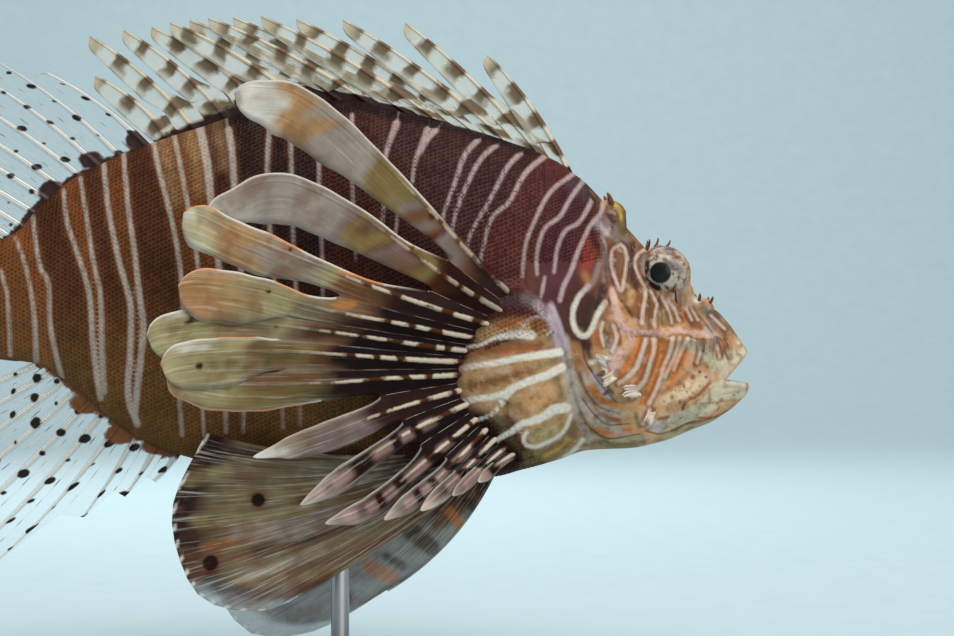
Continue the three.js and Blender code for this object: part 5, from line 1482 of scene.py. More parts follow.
def pectoral_values(sheet, values):
    """Tones, bands, trims and spots of a pectoral fin, read on the right fin."""
    u, v = side_view(sheet)
    ray, t, across, along = (values[key] for key in ("ray", "t", "across", "along"))
    upper, short = ray < UPPER_RAYS, ray > LONG_RAYS
    middle = ~upper & (ray < LONG_RAYS)
    wave = 0.012 * np.sin(across * 0.7 + ray) + 0.004 * across * upper
    wave = wave + 0.03 * np.sin(u / 13 + 1.7 * ray + 1.5 * np.sin(v / 9)) + 0.02 * np.sin(v / 5 + u / 23)
    tone = np.zeros((len(t), 3))
    for number in range(len(PECTORAL_RAYS)):
        own = ray == number
        stops = PECTORAL_TONES[min(number, len(PECTORAL_TONES) - 1)]
        tone[own] = ray_tones(stops, (t + wave)[own])
    for number, cu, cv, ru, rv, name in PECTORAL_BLOTCHES:
        far = np.hypot((u - cu) / ru, (v - cv) / rv) + 0.15 * np.sin(u / 3 + v / 4)
        tone = toned(tone, name, np.where(ray == number, 1 - smooth(0.4, 1.2, far), 0) * 0.75)
    tone = tone * (1 - 0.1 * smooth(0.4, 0.6, t) * (middle & (ray > UPPER_RAYS)))[:, None]
    inner = values["lead"] / np.maximum(values["lead"] + values["trail"], TINY)
    pale = (1 - smooth(0.0, 0.2, np.minimum(inner, 1 - inner))) * smooth(0.4, 0.65, t)
    tone = toned(tone, "smoke", 0.55 * pale)
    spot = np.full(len(t), NO_SPOT)
    for number, cu, cv, radius in PECTORAL_SPOTS:
        spot = np.where(ray == number, np.minimum(spot, np.hypot(u - cu, v - cv) - radius), spot)
    low_lead = (ray == LONG_RAYS - 1) * smooth(0.5, 0.6, t)
    lead = np.where(low_lead > 0, values["trail"], values["lead"])
    warm = smooth(0.1, 0.5, np.sin(along / 4.6 + 1.9 * ray)) * smooth(0.3, 0.4, t) * middle
    trim = toned(PALETTE["pearl"], "orange", np.maximum(warm * 0.8, low_lead * 0.7))
    beat = along * np.where(short, 1 / 9.6, 1 / 11.0) * (1 + 0.15 * np.sin(ray * 2.1)) + 0.37 * ray
    beat = beat + 0.25 * np.sin(along / 6 + 2.6 * ray)
    bar = np.where(short, smooth(0.12, 0.3, np.abs(beat - np.round(beat))) * smooth(0.15, 0.35, t), 0)
    tone = toned(tone, "pink", bar * (1 - smooth(0.8, 2.6, np.abs(across - 0.6))) * 0.5)
    return {
        "tone": tone, "trim": trim, "lead": lead, "across": across, "along": along, "ray": ray,
        "radius": values["radius"] * lerp(1.15, 0.8, smooth(0.1, 0.6, t)),
        "spot": spot * STEP, "band": beat + 0.5 * short,
        "streak": smooth(0.35, 0.6, t) * np.where(upper, 0.12, 0.5),
        "banded": 1 - smooth(0.42, 0.66, t) * ~short,
        "shaft": 0.85 - 0.65 * smooth(0.35, 0.65, t) - 0.4 * upper,
        "trim_share": smooth(0.25, 0.4, t) * np.where(ray < LONG_RAYS, 0.85, 0.3),
        "opacity": 1 - smooth(0.35, 0.7, t) * np.where(upper, 0.2, 0.06),
    }


# Pelvic fins: the outline through the rays' tips, from the front ray round to the last, and their roots
PELVIC_TIPS = [(5, -93), (-24, -102.5), (-45, -99), (-53.5, -84.5), (-55.3, -67.5), (-44.6, -44.5)]
PELVIC_ROOTS = [(53.5, -52), (46, -47)]
PELVIC_RAYS = 16
PELVIC_OUT = 15.0
PELVIC_FLARE = math.radians(10)
PELVIC_ROOT_Y = 9.0
PELVIC_ROWS = 80
RIGHT_PELVIC_TIP = (-12, -96.5)
# Dark spots of the pelvic fins, as place and radius, and strokes of colour on the right fin and the left
PELVIC_SPOTS = [(258, 500, 7), (210, 563, 8), (345, 598, 7)]
RIGHT_STREAKS = [
    ("plum", 5, 6, 4, 255, 552, 310, 538, 365, 520), ("rust", 3, 3.4, 2.4, 203, 547, 235, 541, 268, 531),
    ("plum", 5, 6, 4, 215, 452, 290, 455, 340, 456), ("plum", 5, 5, 4, 215, 590, 280, 594, 330, 580),
    ("umber", 5, 5, 5, 200, 530, 300, 515, 380, 495), ("umber", 5, 5, 4, 290, 572, 360, 550, 420, 520),
    ("leaf", 6, 5, 4, 195, 520, 250, 518, 310, 508), ("smoke", 8, 8, 9, 240, 532, 290, 530, 340, 512),
    ("leaf", 7, 6, 6, 235, 500, 300, 490, 350, 478), ("red", 4, 9, 258, 500), ("red", 4, 10, 210, 563),
    ("leaf", 6, 6, 5, 190, 480, 225, 470), ("dusk", 6, 8, 7, 230, 600, 290, 590),
    ("smoke", 6, 4, 3, 250, 575, 320, 552), ("plum", 5, 4, 3, 300, 500, 370, 488),
]
LEFT_STREAKS = [
    ("red", 4, 10, 345, 598), ("orange", 3, 7, 7, 368, 566, 392, 578),
    ("plum", 3, 4, 4, 386, 556, 402, 566), ("plum", 3, 9, 8, 412, 532, 432, 548),
    ("umber", 5, 8, 7, 436, 522, 470, 496), ("orange", 3, 5, 5, 450, 512, 462, 528),
    ("plum", 3, 5, 5, 466, 500, 482, 512), ("plum", 5, 5, 4, 300, 590, 330, 575),
]


def pelvic_rays(side):
    """A pelvic fin's rays. The left fin is turned down about its root."""
    rays = []
    t = shares(PELVIC_ROWS)
    flare = np.array((math.sin(PELVIC_FLARE), side * math.cos(PELVIC_FLARE), 0))
    pivot = seen(PELVIC_ROOTS[0][0], -PELVIC_ROOT_Y, PELVIC_ROOTS[0][1])
    tips = through([RIGHT_PELVIC_TIP if side < 0 else PELVIC_TIPS[0], *PELVIC_TIPS[1:]], PELVIC_RAYS - 1)
    for i, tip in enumerate(tips):
        share = i / (PELVIC_RAYS - 1)
        x, z = lerp(*np.array(PELVIC_ROOTS), share)
        start = seen(x, -PELVIC_ROOT_Y, z)
        end = seen(tip[0], -PELVIC_ROOT_Y - PELVIC_OUT, tip[1])
        if side > 0:
            start, end = dropped(np.array([start, end]), pivot, LEFT_PELVIC_DROP)
        offset = unit(np.cross(flare, unit(end - start))) * -side * lerp(1 if side < 0 else 5, 6, share)
        rays.append({
            "path": bowed(start, end, offset, PELVIC_ROWS), "web": 1.0,
            "before": np.full(len(t), 0.8), "after": np.full(len(t), 0.8),
            "radius": lerp(0.8 if i % 3 == 0 else 0.45, 0.22, t),
        })
    return rays, flare


def pelvic_values(sheet, values, side):
    """Tones, streaks and spots of a pelvic fin."""
    u, v = side_view(sheet, folded=False)
    t, ray = values["t"], values["ray"]
    ground = "bistre" if side < 0 else "frost"
    tip = "plum" if side < 0 else "dusk"
    tone = ray_tones(f"0 black_plum .25 plum .42 {ground} .86 {ground} .94 {tip} 1 {tip}", t)
    low = smooth(575, 600, v) * smooth(0.88, 0.94, t)
    tone = toned(tone, "veil", low)
    tone = painted(tone, u, v, RIGHT_STREAKS if side < 0 else LEFT_STREAKS, 0.8)
    spot = np.full(len(t), NO_SPOT)
    for cu, cv, radius in PELVIC_SPOTS:
        spot = np.minimum(spot, np.hypot(u - cu, v - cv) - radius)
    return {
        "tone": tone, "trim": np.tile(PALETTE["white"], (len(t), 1)), "lead": (1 - t) * 50,
        "across": values["across"], "along": values["along"], "radius": values["radius"], "ray": ray,
        "spot": spot * STEP, "band": values["along"] / 9.0 + 0.4 * ray,
        "banded": 0.5 * (1 - smooth(0.3, 0.6, t)), "shaft": 0.35 * (1 - smooth(0.6, 0.9, t)),
        "trim_share": smooth(0.3, 0.8, np.sin((u + v) / 3)), "streak": smooth(0.15, 0.45, t) * 0.9,
        "opacity": 1 - (0.06 if side < 0 else 0.3) * smooth(0.3, 0.7, t) - 0.3 * low,
    }


# Dorsal spines, then the rays of the soft dorsal and anal fins: root, tip across and tip up
DORSAL_SPINES = [
    (76.5, 48.5, 80.9), (68, 21.4, 91.7), (58.4, 1, 92.4), (48, -14.5, 93), (37.5, -26, 93.5),
    (27, -35.5, 93.5), (15.8, -43.5, 93), (3, -50, 92.5), (-10.5, -56, 91.5), (-23.5, -62.5, 90.4),
    (-36, -71.5, 89.1), (-46.5, -83.2, 87.5), (-55.5, -81, 73.9),
]
DORSAL_TRAIL = 6.2
DORSAL_WEB = 0.25
FACING_RIGHT = (0.0, -1.0, 0.0)
SOFT_DORSAL_RAYS = [
    (-62.5, -97.4, 75.2), (-71.5, -113.9, 79.2), (-78.5, -127.1, 78.5), (-85, -138.6, 74.4),
    (-91, -147.3, 69), (-96, -153, 62), (-100.5, -155.5, 54.5), (-104.5, -154.5, 47), (-108.5, -150, 39.5),
    (-112.5, -142.5, 32.5),
]
ANAL_RAYS = [
    (-54.1, -61.7, -59.7), (-61.1, -71.3, -65), (-67.7, -85.1, -71.9), (-73.3, -115.5, -87.8),
    (-78.2, -132.7, -93.1), (-82.5, -145.2, -89.1), (-86.5, -152.5, -79.2), (-90.4, -154.4, -66),
    (-94.4, -152.5, -51.2), (-98.3, -146.5, -36.3),
]
ANAL_SPINES = 3
# Fleshy lobes at the fins' roots in the side view: place and radii
DORSAL_LOBES = [(138, 140, 15, 10), (90, 160, 13, 9), (50, 190, 12, 10)]
ANAL_LOBES = [(86, 404, 17, 9), (120, 434, 17, 10), (160, 446, 22, 9)]
TAIL_RAYS = 13
TAIL_SPREAD = math.radians(31)
TAIL_FIN_LENGTH = 78.0
# Bow, sag of the web's edge, and radius at root and tip
SPINE_SHAPE = (0.6, 0.22, (1.1, 0.35))
SOFT_SHAPE = (2.2, 0.05, (0.9, 0.45))
SOFT_ROWS = 56


def in_plane(root, tip, bow):
    """A ray's places in the fish's middle plane, bowed within the fin."""
    away = unit(np.asarray(tip, float) - np.asarray(root, float))
    return bowed(root, tip, unit(np.cross(FACING_RIGHT, away)) * bow, SOFT_ROWS)


def webbed_ray(root, tip, bow, sag, radius):
    """A ray of a clear fin, joined to the next ones by web out to its tip."""
    half = np.full(SOFT_ROWS + 1, 1.4)
    return {
        "path": in_plane(root, tip, bow), "web": 1.0, "sag": sag, "before": half, "after": half,
        "radius": lerp(*radius, shares(SOFT_ROWS)),
    }


def spine_base(ray):
    """How far the dark flesh climbs each dorsal spine."""
    return EMBED + 1.5 + 9 * bell(ray - 6.5, 2.8)


def dorsal_rays():
    """The dorsal spines, leaning to each side in turn, with the skin that trails behind them."""
    t = shares(SOFT_ROWS)
    swell = np.sin(np.pi * np.clip(t * 0.86 + 0.07, 0, 1)) ** 0.6
    tip = round_tip(t, 0.06)
    rays = []
    for i, (root_x, tip_x, tip_z) in enumerate(DORSAL_SPINES):
        lean = 1.2 if i % 2 else -1.2
        rays.append({
            "path": in_plane((root_x, 0, BACK(root_x) - EMBED), (tip_x, lean, tip_z), -2.4),
            "web": DORSAL_WEB, "before": np.maximum(0.15, (1.3 - 0.8 * t) * tip),
            "after": np.maximum(0.15, (1.2 + (DORSAL_TRAIL - 1.2) * swell) * tip),
            "radius": lerp(1.1, 0.3, t),
        })
    return rays


def soft_dorsal_rays():
    """The soft dorsal fin's rays."""
    return [
        webbed_ray((root_x, 0, BACK(root_x) - EMBED), (tip_x, 0, tip_z), -2, 0.06, (0.9, 0.4))
        for root_x, tip_x, tip_z in SOFT_DORSAL_RAYS
    ]


def anal_rays():
    """The anal fin's spines and rays."""
    return [
        webbed_ray(
            (root_x + EMBED / 2, 0, BELLY(root_x) + EMBED), (tip_x, 0, tip_z),
            *(SPINE_SHAPE if i < ANAL_SPINES else SOFT_SHAPE),
        )
        for i, (root_x, tip_x, tip_z) in enumerate(ANAL_RAYS)
    ]


def tail_rays():
    """The tail fin's rays, fanned out from the end of the tail stalk."""
    top, bottom = BACK(TAIL_BASE_X) - 1.5, BELLY(TAIL_BASE_X) + 1.5
    rays = []
    for i in range(TAIL_RAYS):
        share = 2 * i / (TAIL_RAYS - 1) - 1
        angle = share * TAIL_SPREAD
        length = TAIL_FIN_LENGTH * (1 - 0.13 * share**2)
        root_z = lerp(top, bottom, (share + 1) / 2)
        tip = (TAIL_BASE_X - length * math.cos(angle), 0, root_z - length * math.sin(angle))
        rays.append(webbed_ray((TAIL_BASE_X + EMBED, 0, root_z), tip, -2.5 * share, 0.04, (1.0, 0.4)))
    return rays


def clear_values(sheet, values, pitch, dot, base_length, base_tone, lobes):
    """Spots in rows along the rays, and the scaled fleshy root and lobes of a clear fin."""
    ray = values["ray"]
    u, v = side_view(sheet)
    base = 0.5 + (base_length - values["along"]) / (2 * base_length)
    for cu, cv, ru, rv in lobes:
        base = np.maximum(base, 1 - 0.5 * np.hypot((u - cu) / ru, (v - cv) / rv))
    beat = values["along"] / pitch + 0.5 * (ray % 2) + 0.13 * ray
    drawn = ray * 5.1 + np.round(beat) * 2.9
    return {
        "across": values["across"], "radius": values["radius"], "pitch": np.full(len(ray), pitch),
        "band": beat, "dot": dot * (0.8 + 0.4 * np.sin(drawn)), "aside": 1.6 * np.sin(drawn * 2.3),
        "base": base, "tone": np.tile(PALETTE[base_tone], (len(ray), 1)),
    }


# Sizes and colours that a user would change
class LionfishSkin(bpy.types.PropertyGroup):
    """Sizes of the skin."""

    depth: bpy.props.FloatProperty(
        name="Depth", description="How far the skin is sunk into the flesh", default=0.0003, unit="LENGTH"
    )
    trunk_step: bpy.props.FloatProperty(
        name="Trunk Step", description="Spacing of the rings on the trunk", default=0.0017, unit="LENGTH"
    )
    head_step: bpy.props.FloatProperty(
        name="Head Step", description="Spacing of the rings on the head", default=0.00042, unit="LENGTH"
    )
    around: bpy.props.IntProperty(name="Around", description="Points in each ring", default=320, min=24)


class LionfishScales(bpy.types.PropertyGroup):
    """Sizes of the scales."""

    depth: bpy.props.FloatProperty(
        name="Root Depth", description="How deep the scales' roots lie", default=0.0003, unit="LENGTH"
    )
    pitch: bpy.props.FloatProperty(
        name="Pitch", description="Spacing of the trunk's scales", default=0.0015, unit="LENGTH"
    )
    head_pitch: bpy.props.FloatProperty(
        name="Head Pitch", description="Spacing of the nape's scales", default=0.0012, unit="LENGTH"
    )
    size: bpy.props.FloatProperty(name="Size", description="Size of a scale against its pitch", default=1.12)
    variation: bpy.props.FloatProperty(name="Variation", description="Share that sizes vary by", default=0.2)
    height: bpy.props.FloatProperty(name="Height", description="How far the scales stand out", default=0.32)
    seed: bpy.props.IntProperty(name="Seed", description="Seed of the drawn sizes", default=7)


class LionfishColours(bpy.types.PropertyGroup):
    """Colours of the markings."""

    line_strength: bpy.props.FloatProperty(
        name="Line Strength", description="How strongly the white lines cover the skin", default=0.92,
        min=0, max=1,
    )


class LionfishStage(bpy.types.PropertyGroup):
    """Light and camera."""

    key: bpy.props.FloatProperty(
        name="Key Light", description="Main light above", default=13.0, unit="POWER"
    )
    fill: bpy.props.FloatProperty(
        name="Fill Light", description="Light from the front", default=7.0, unit="POWER"
    )
    back: bpy.props.FloatProperty(
        name="Back Light", description="Light through the fins", default=6.0, unit="POWER"
    )
    wall: bpy.props.FloatProperty(
        name="Wall Light", description="Light on the backdrop", default=30.0, unit="POWER"
    )
    sky: bpy.props.FloatProperty(name="Sky", description="Strength of the even light", default=0.4)
    lens: bpy.props.FloatProperty(name="Lens", description="Camera lens in millimetres", default=85.0)


# Where the head's finer rings start, how deep in the flesh the mouth's lining starts, and the angle from
# which an edge of the skin stays sharp
HEAD_X = 60.0
LINING_DEPTH = 1.6
SKIN_SHARP = math.radians(50)


class LIONFISH_OT_skin(bpy.types.Operator):
    """Make the fish's skin as one surface, with its mouth, folds and markings"""

    bl_idname = "lionfish.skin"
    bl_label = "Skin"

    def execute(self, context):
        sizes = context.scene.lionfish_skin
        trunk_rings = round((HEAD_X - TAIL_BASE_X) * MM / sizes.trunk_step)
        head_rings = round((SNOUT_X - HEAD_X) * MM / sizes.head_step)
        stations = np.concatenate([
            np.linspace(TAIL_BASE_X, HEAD_X, trunk_rings, endpoint=False),
            np.linspace(HEAD_X, SNOUT_X, head_rings),
        ])
        places = skin_rings(stations, sizes.around, sizes.depth / MM).reshape(-1, 3)
        faces = [face[::-1] for face in tube_faces(len(stations), sizes.around)]
        material = skin_finish(context.scene.lionfish_colours, "lionfish_skin", scales=False)
        skin = build_mesh("body_skin", placed(places), faces, {}, material)
        outward(skin)
        cut_mouth(skin)
        places = places_of(skin.data)
        u, v = side_view(places)
        bare = np.maximum(1 - smooth(-14, -4, far_from(u, v, *FIN_ROOT)), smooth(598, 606, u))
        for key, value in {**markings(places), "bare": bare}.items():
            give_value(skin.data, key, value)
        lining = mouth_finish()
        skin.data.materials.clear()
        skin.data.materials.append(material)
        skin.data.materials.append(lining)
        centres = np.zeros(len(skin.data.polygons) * 3)
        skin.data.polygons.foreach_get("center", centres)
        centres = centres.reshape(-1, 3) / MM - (0, 0, LIFT)
        in_front_of_throat = centres[:, 0] > MOUTH_CENTRE[0] - MOUTH_RADII[0] - 2
        inner = (flesh(centres) < -LINING_DEPTH) & in_front_of_throat
        skin.data.polygons.foreach_set("material_index", inner.astype(int))
        skin.data.shade_smooth()
        skin.data.set_sharp_from_angle(angle=SKIN_SHARP)
        dress(skin, "skin", "head", "lower_jaw", "trunk", "tail_stalk")
        return {"FINISHED"}


class LIONFISH_OT_scales(bpy.types.Operator):
    """Cover the trunk and head with overlapping scales"""

    bl_idname = "lionfish.scales"
    bl_label = "Scales"

    def execute(self, context):
        settings = context.scene.lionfish_scales
        places, faces = scale_plate()
        plate_mesh = bpy.data.meshes.new("scale_plate")
        plate_mesh.from_pydata(places, [], faces)
        plate = bpy.data.objects.new("scale_plate", plate_mesh)
        group = scale_tree("Scales on roots")
        material = skin_finish(context.scene.lionfish_colours, "lionfish_scales", scales=True)
        pitch, head_pitch = settings.pitch / MM, settings.head_pitch / MM
        areas = (
            ("rear_scales", TAIL_BASE_X + 1, 0.0, pitch), ("front_scales", 0.0, NECK_X, pitch),
            ("nape_scales", NECK_X, NAPE_END_X, head_pitch),
        )
        for name, low_x, high_x, spacing in areas:
            for side, word in ((-1, "right"), (1, "left")):
                stations = np.arange(low_x, high_x, spacing * 0.9)
                roots = scale_points(stations, spacing, side)
                roots = roots[scaly(roots)]
                sizes = spacing * lerp(0.8, 1.0, smooth(-120, -60, roots[:, 0]))
                piece = grow_scales(f"{name}_{word}", roots, sizes, group, plate, settings, material)
                dress(piece, "skin")
        bpy.data.objects.remove(plate)
        return {"FINISHED"}


PUPIL_RADIUS = 3.55
PUPIL_STEPS = (660.5, 272.5)
EYE_RINGS = 72
EYE_AROUND = 96
# The ball is a little smaller than its socket and bulges over the pupil, by this share within this angle
EYE_SHARE = 0.985
EYE_BULGE = 0.012
EYE_BULGE_ANGLE = 0.55
# Spots and smudges of the iris, as strokes of colour
EYE_SPOTS = [
    ("ink", 1.4, 2.6, 647, 269), ("plum", 1.6, 1.8, 650, 252), ("plum", 1.6, 1.8, 657, 256),
    ("plum", 1.2, 1.8, 1.4, 666, 286, 668, 289), ("plum", 1.5, 1.6, 679, 277),
    ("dusk", 3, 4, 4, 674, 262, 680, 270), ("ink", 1.6, 3.4, 3, 643, 279, 650, 285, 658, 288),
    ("ink", 1.5, 2.2, 2, 648, 262, 646, 272), ("umber", 2, 2, 2, 655, 250, 668, 252, 678, 258),
    # The plum smudge at the pupil's upper front edge is the iris's dark rim with painted shadow on it.
    ("plum", 3, 3, 3, 665, 260, 672, 268), ("umber", 1.5, 1.2, 1.2, 640, 262, 641, 272),
    ("dusk", 2, 2, 2, 660, 250, 670, 252),
]


class LIONFISH_OT_eyes(bpy.types.Operator):
    """Make both eyes, with spotted grey iris and black pupil"""

    bl_idname = "lionfish.eyes"
    bl_label = "Eyes"

    def execute(self, context):
        material = eye_finish()
        angles = np.pi * np.arange(1, EYE_RINGS) / EYE_RINGS
        profile = EYE_RADIUS * EYE_SHARE * (1 + EYE_BULGE * bell(angles, EYE_BULGE_ANGLE))
        rings = ball(angles, profile, EYE_AROUND)[:, [1, 0, 2]]
        local = np.vstack([rings, (0, profile[0], 0), (0, -profile[-1], 0)])
        around = np.arange(EYE_AROUND)
        following = (around + 1) % EYE_AROUND
        start, pole = len(rings) - EYE_AROUND, 0 * around + len(rings)
        fans = np.vstack([
            np.stack([pole, following, around], -1),
            np.stack([pole + 1, start + around, start + following], -1),
        ])
        faces = ring_faces(EYE_RINGS - 1, EYE_AROUND).tolist() + fans.tolist()
        u, v = side_view((local + EYE) * (1, -1, 1))
        out = np.hypot(u - PUPIL_STEPS[0], v - PUPIL_STEPS[1]) * STEP
        tone = painted(tone_of(u, v), u, v, EYE_SPOTS)
        tone = toned(tone, "line_head", 0.8 * (1 - smooth(-1, 1, nearest(u, v, HEAD_LINES))))
        tone = toned(tone, "smoke", 0.2 * bell(out - PUPIL_RADIUS - 0.35, 0.3))
        iris = smooth(PUPIL_RADIUS - 0.2, PUPIL_RADIUS + 0.2, out)
        for side, word in ((-1, "right"), (1, "left")):
            places = placed((local + EYE) * (1, side, 1))
            eye = build_mesh(f"eyeball_{word}", places, faces, {"tone": tone, "iris": iris}, material)
            outward(eye)
            dress(eye, "eye", f"eye_{word}")
        return {"FINISHED"}


# Thorns on each side of the head: root and tip across and up, the tip's stand-out, and radius
THORNS = [
    (101, 16.5, 101.8, 20.0, 0.6, 0.7), (104, 17.6, 105, 20.6, 0.6, 0.6),
    (107.5, 17.4, 109, 19.8, 0.6, 0.6), (84.5, 31.5, 81.8, 35.6, 0.8, 1.3),
    (89.3, 30.5, 87.6, 35, 0.8, 1.3), (117.5, -1, 118, 2.2, 0.5, 0.9), (121, -1.5, 122.4, 1.2, 0.5, 0.8),
    (87, -22, 83.4, -24.4, 2, 1.1), (89, -28, 85.4, -30.6, 2, 1.0),
]
# Flaps on each side of the head: root across and up, length, width, the way it points from up towards the
# tail, its fingers and tone
FLAPS = [
    (86.5, -20, 4.0, 3.2, 60, 7, "line_head"), (88.6, -24.5, 4.2, 3.0, 125, 7, "bone"),
    (96.5, -29, 4.8, 4.4, 100, 9, "line_head"), (101.5, -36.5, 3.8, 2.6, 160, 7, "line_head"),
    (126.5, -12.5, 2.2, 1.2, -10, 5, "tan"),
]
FLAP_SPREAD = math.radians(64)
FLAP_RISE = 0.6
PALM = 0.78
THORN_WIDTH = 0.72
LIMB_ROWS = 9
LIMB_AROUND = 10
LIMB_FACING = (0.0, -1.0, 0.1)


def limb(root, tip, bow, wide, thick, flat):
    """A tapering closed body from root to tip. flat is the way its flat side faces."""
    path = bowed(root, tip, bow, LIMB_ROWS)
    tangent = unit(np.gradient(path, axis=0))
    across = unit(np.cross(flat, tangent))
    out = np.cross(tangent, across)
    taper = np.sqrt(np.maximum(0.02, 1 - shares(LIMB_ROWS) ** 2.2))[:, None]
    turn = turns(LIMB_AROUND)
    rings = path[:, None] + across[:, None] * (wide * taper * np.cos(turn))[..., None]
    rings = rings + out[:, None] * (thick * taper * np.sin(turn))[..., None]
    return rings.reshape(-1, 3), tube_faces(LIMB_ROWS + 1, LIMB_AROUND)


def head_limbs():
    """Every thorn and every finger of the flaps on the right of the head."""
    limbs = []
    for x, z, tip_x, tip_z, out, radius in THORNS:
        y = side_of(x, z)
        wide = radius * THORN_WIDTH
        made = limb((x, -y + 1.5, z), (tip_x, -y - out, tip_z), (0.3, 0, 0), wide, wide, LIMB_FACING)
        limbs.append((*made, "umber"))
    for x, z, length, wide, way, fingers, name in FLAPS:
        root = np.array((x, -side_of(x, z) - FLAP_RISE, z))
        # The first is the palm that the fingers stand on
        for k in range(-1, fingers):
            palm = k < 0
            share = 0 if palm else (k + 0.5) / fingers - 0.5
            turn = math.radians(way) + share * FLAP_SPREAD
            reach = length * (PALM if palm else 1 - 0.9 * share**2 + 0.14 * math.sin(5 * k + x))
            lean = 0.7 + 0.15 * math.sin(3 * k + z)
            tip = root + reach * np.array((-math.sin(turn), -lean, math.cos(turn)))
            side = np.array((math.cos(turn), 0, math.sin(turn))) * share
            half = wide * (0.55 if palm else 1.2 / fingers)
            made = limb(root - side * wide, tip, side * 0.8, half, 0.4, LIMB_FACING)
            limbs.append((*made, name))
    return limbs


class LIONFISH_OT_head_trim(bpy.types.Operator):
    """Make the thorns and frilled flaps of the head"""

    bl_idname = "lionfish.head_trim"
    bl_label = "Head Trim"

    def execute(self, context):
        material = flap_finish()
        limbs = head_limbs()
        for side, word in ((1, "right"), (-1, "left")):
            places, faces, tones = [], [], []
            for points, quads, name in limbs:
                start = LIMB_AROUND * (LIMB_ROWS + 1) * len(places)
                faces += [[start + k for k in quad] for quad in quads]
                places.append(points * (1, side, 1))
                tones.append(np.tile(PALETTE[name], (len(points), 1)))
            tone = {"tone": np.vstack(tones)}
            trim = build_mesh(f"head_trim_{word}", placed(np.vstack(places)), faces, tone, material)
            outward(trim)
            dress(trim, "skin")
        return {"FINISHED"}


class LIONFISH_OT_pectoral_fins(bpy.types.Operator):
    """Make both pectoral fins with their free blades"""

    bl_idname = "lionfish.pectoral_fins"
    bl_label = "Pectoral Fins"

    def execute(self, context):
        material = blade_finish("pectoral_fin_skin")
        rays = pectoral_rays()
        side = (math.sin(PECTORAL_FLARE), -math.cos(PECTORAL_FLARE), 0)
        sheet, quads, values = comb(rays, PECTORAL_ROWS, side, pleat=1.2, curl=0.8, flat=0.65)
        shown = pectoral_values(sheet, values)
        x, z = PECTORAL_RAYS[6][0][0]
        pivot = seen(x, -side_of(x, z), z)
        left = dropped(sheet, pivot, LEFT_PECTORAL_DROP)
        for places, word in ((sheet, "right"), (left, "left")):
            node = f"pectoral_fin_{word}"
            fin_piece(f"pectoral_{word}", places, quads, values["half"], shown, material, "fin", node)
        return {"FINISHED"}


class LIONFISH_OT_pelvic_fins(bpy.types.Operator):
    """Make both pelvic fins"""

    bl_idname = "lionfish.pelvic_fins"
    bl_label = "Pelvic Fins"

    def execute(self, context):
        material = blade_finish("pelvic_fin_skin")
        for side, word in ((-1, "right"), (1, "left")):
            rays, flare = pelvic_rays(side)
            sheet, quads, values = comb(rays, PELVIC_ROWS, flare, pleat=0.1)
            shown = pelvic_values(sheet, values, side)
            node = f"pelvic_fin_{word}"
            fin_piece(f"pelvic_{word}", sheet, quads, values["half"], shown, material, "fin", node)
        return {"FINISHED"}


class LIONFISH_OT_dorsal_spines(bpy.types.Operator):
    """Make the banded dorsal spines and the skin that trails behind each"""

    bl_idname = "lionfish.dorsal_spines"
    bl_label = "Dorsal Spines"

    def execute(self, context):
        sheet, quads, values = comb(dorsal_rays(), SOFT_ROWS, FACING_RIGHT)
        shown = {
            "across": values["across"], "radius": values["radius"],
            "band": values["along"] / (11.5 + np.sin(values["ray"] * 1.7)) + 0.53 * values["ray"],
            "tip": smooth(0.88, 0.97, values["t"]), "trail": values["trail"],
            "base": 0.5 + (spine_base(values["ray"]) - values["along"]) / 6,
        }
        material = spine_finish()
        fin_piece(
            "dorsal_spine_row", sheet, quads, values["half"], shown, material, "fin", "dorsal_spines"
        )
        return {"FINISHED"}


class LIONFISH_OT_clear_fins(bpy.types.Operator):
    """Make the clear, spotted soft dorsal, anal and tail fins"""

    bl_idname = "lionfish.clear_fins"
    bl_label = "Clear Fins"

    def execute(self, context):
        material = clear_finish()
        fins = (
            ("soft_dorsal", soft_dorsal_rays(), 9.0, 1.15, 3.6, "plum", DORSAL_LOBES, "soft_dorsal_fin"),
            ("anal", anal_rays(), 9.5, 1.5, 4.5, "brown", ANAL_LOBES, "anal_fin"),
            ("tail", tail_rays(), 10.0, 1.1, 8.0, "rear_mid", (), "tail_fin"),
        )
        for name, rays, pitch, dot, base_length, base_tone, lobes, node in fins:
            sheet, quads, values = comb(rays, SOFT_ROWS, FACING_RIGHT, membrane=0.11)
            shown = clear_values(sheet, values, pitch, dot, base_length, base_tone, lobes)
            fin_piece(name, sheet, quads, values["half"], shown, material, "clear_fin", node)
        return {"FINISHED"}


def rounded_outline(half_x, half_y, corner, steps):
    """A rectangle with round corners, as points going round it."""
    points = []
    for k, sides in enumerate(((1, 1), (-1, 1), (-1, -1), (1, -1))):
        middle = np.multiply(sides, (half_x - corner, half_y - corner))
        for turn in np.linspace(0, np.pi / 2, steps) + k * np.pi / 2:
            points.append(middle + corner * np.array((math.cos(turn), math.sin(turn))))
    return np.array(points)


def stand_piece(name, rings, around, material, slot, node):
    """A finished piece of the stand from its rings of places in millimetres."""
    piece = build_mesh(name, np.vstack(rings) * MM, tube_faces(len(rings), around), {}, material)
    outward(piece)
    piece.data.set_sharp_from_angle(angle=STAND_SHARP)
    dress(piece, slot, node)


# The base's edge from its underside up, as how far each ring is set in and how high it lies. The last, on
# top, lies at the base's full height.
BASE_LAYERS = [
    (2.4, 0.0), (1.2, 0.25), (0.45, 0.9), (0.0, 2.0), (0.0, 4.4), (0.5, 5.2), (1.6, 5.7), (1.9, 6.0),
    (2.2, 7.2), (2.6, 7.75),
]
BASE_TOP_INSET = 3.3
BASE_CORNER = 14
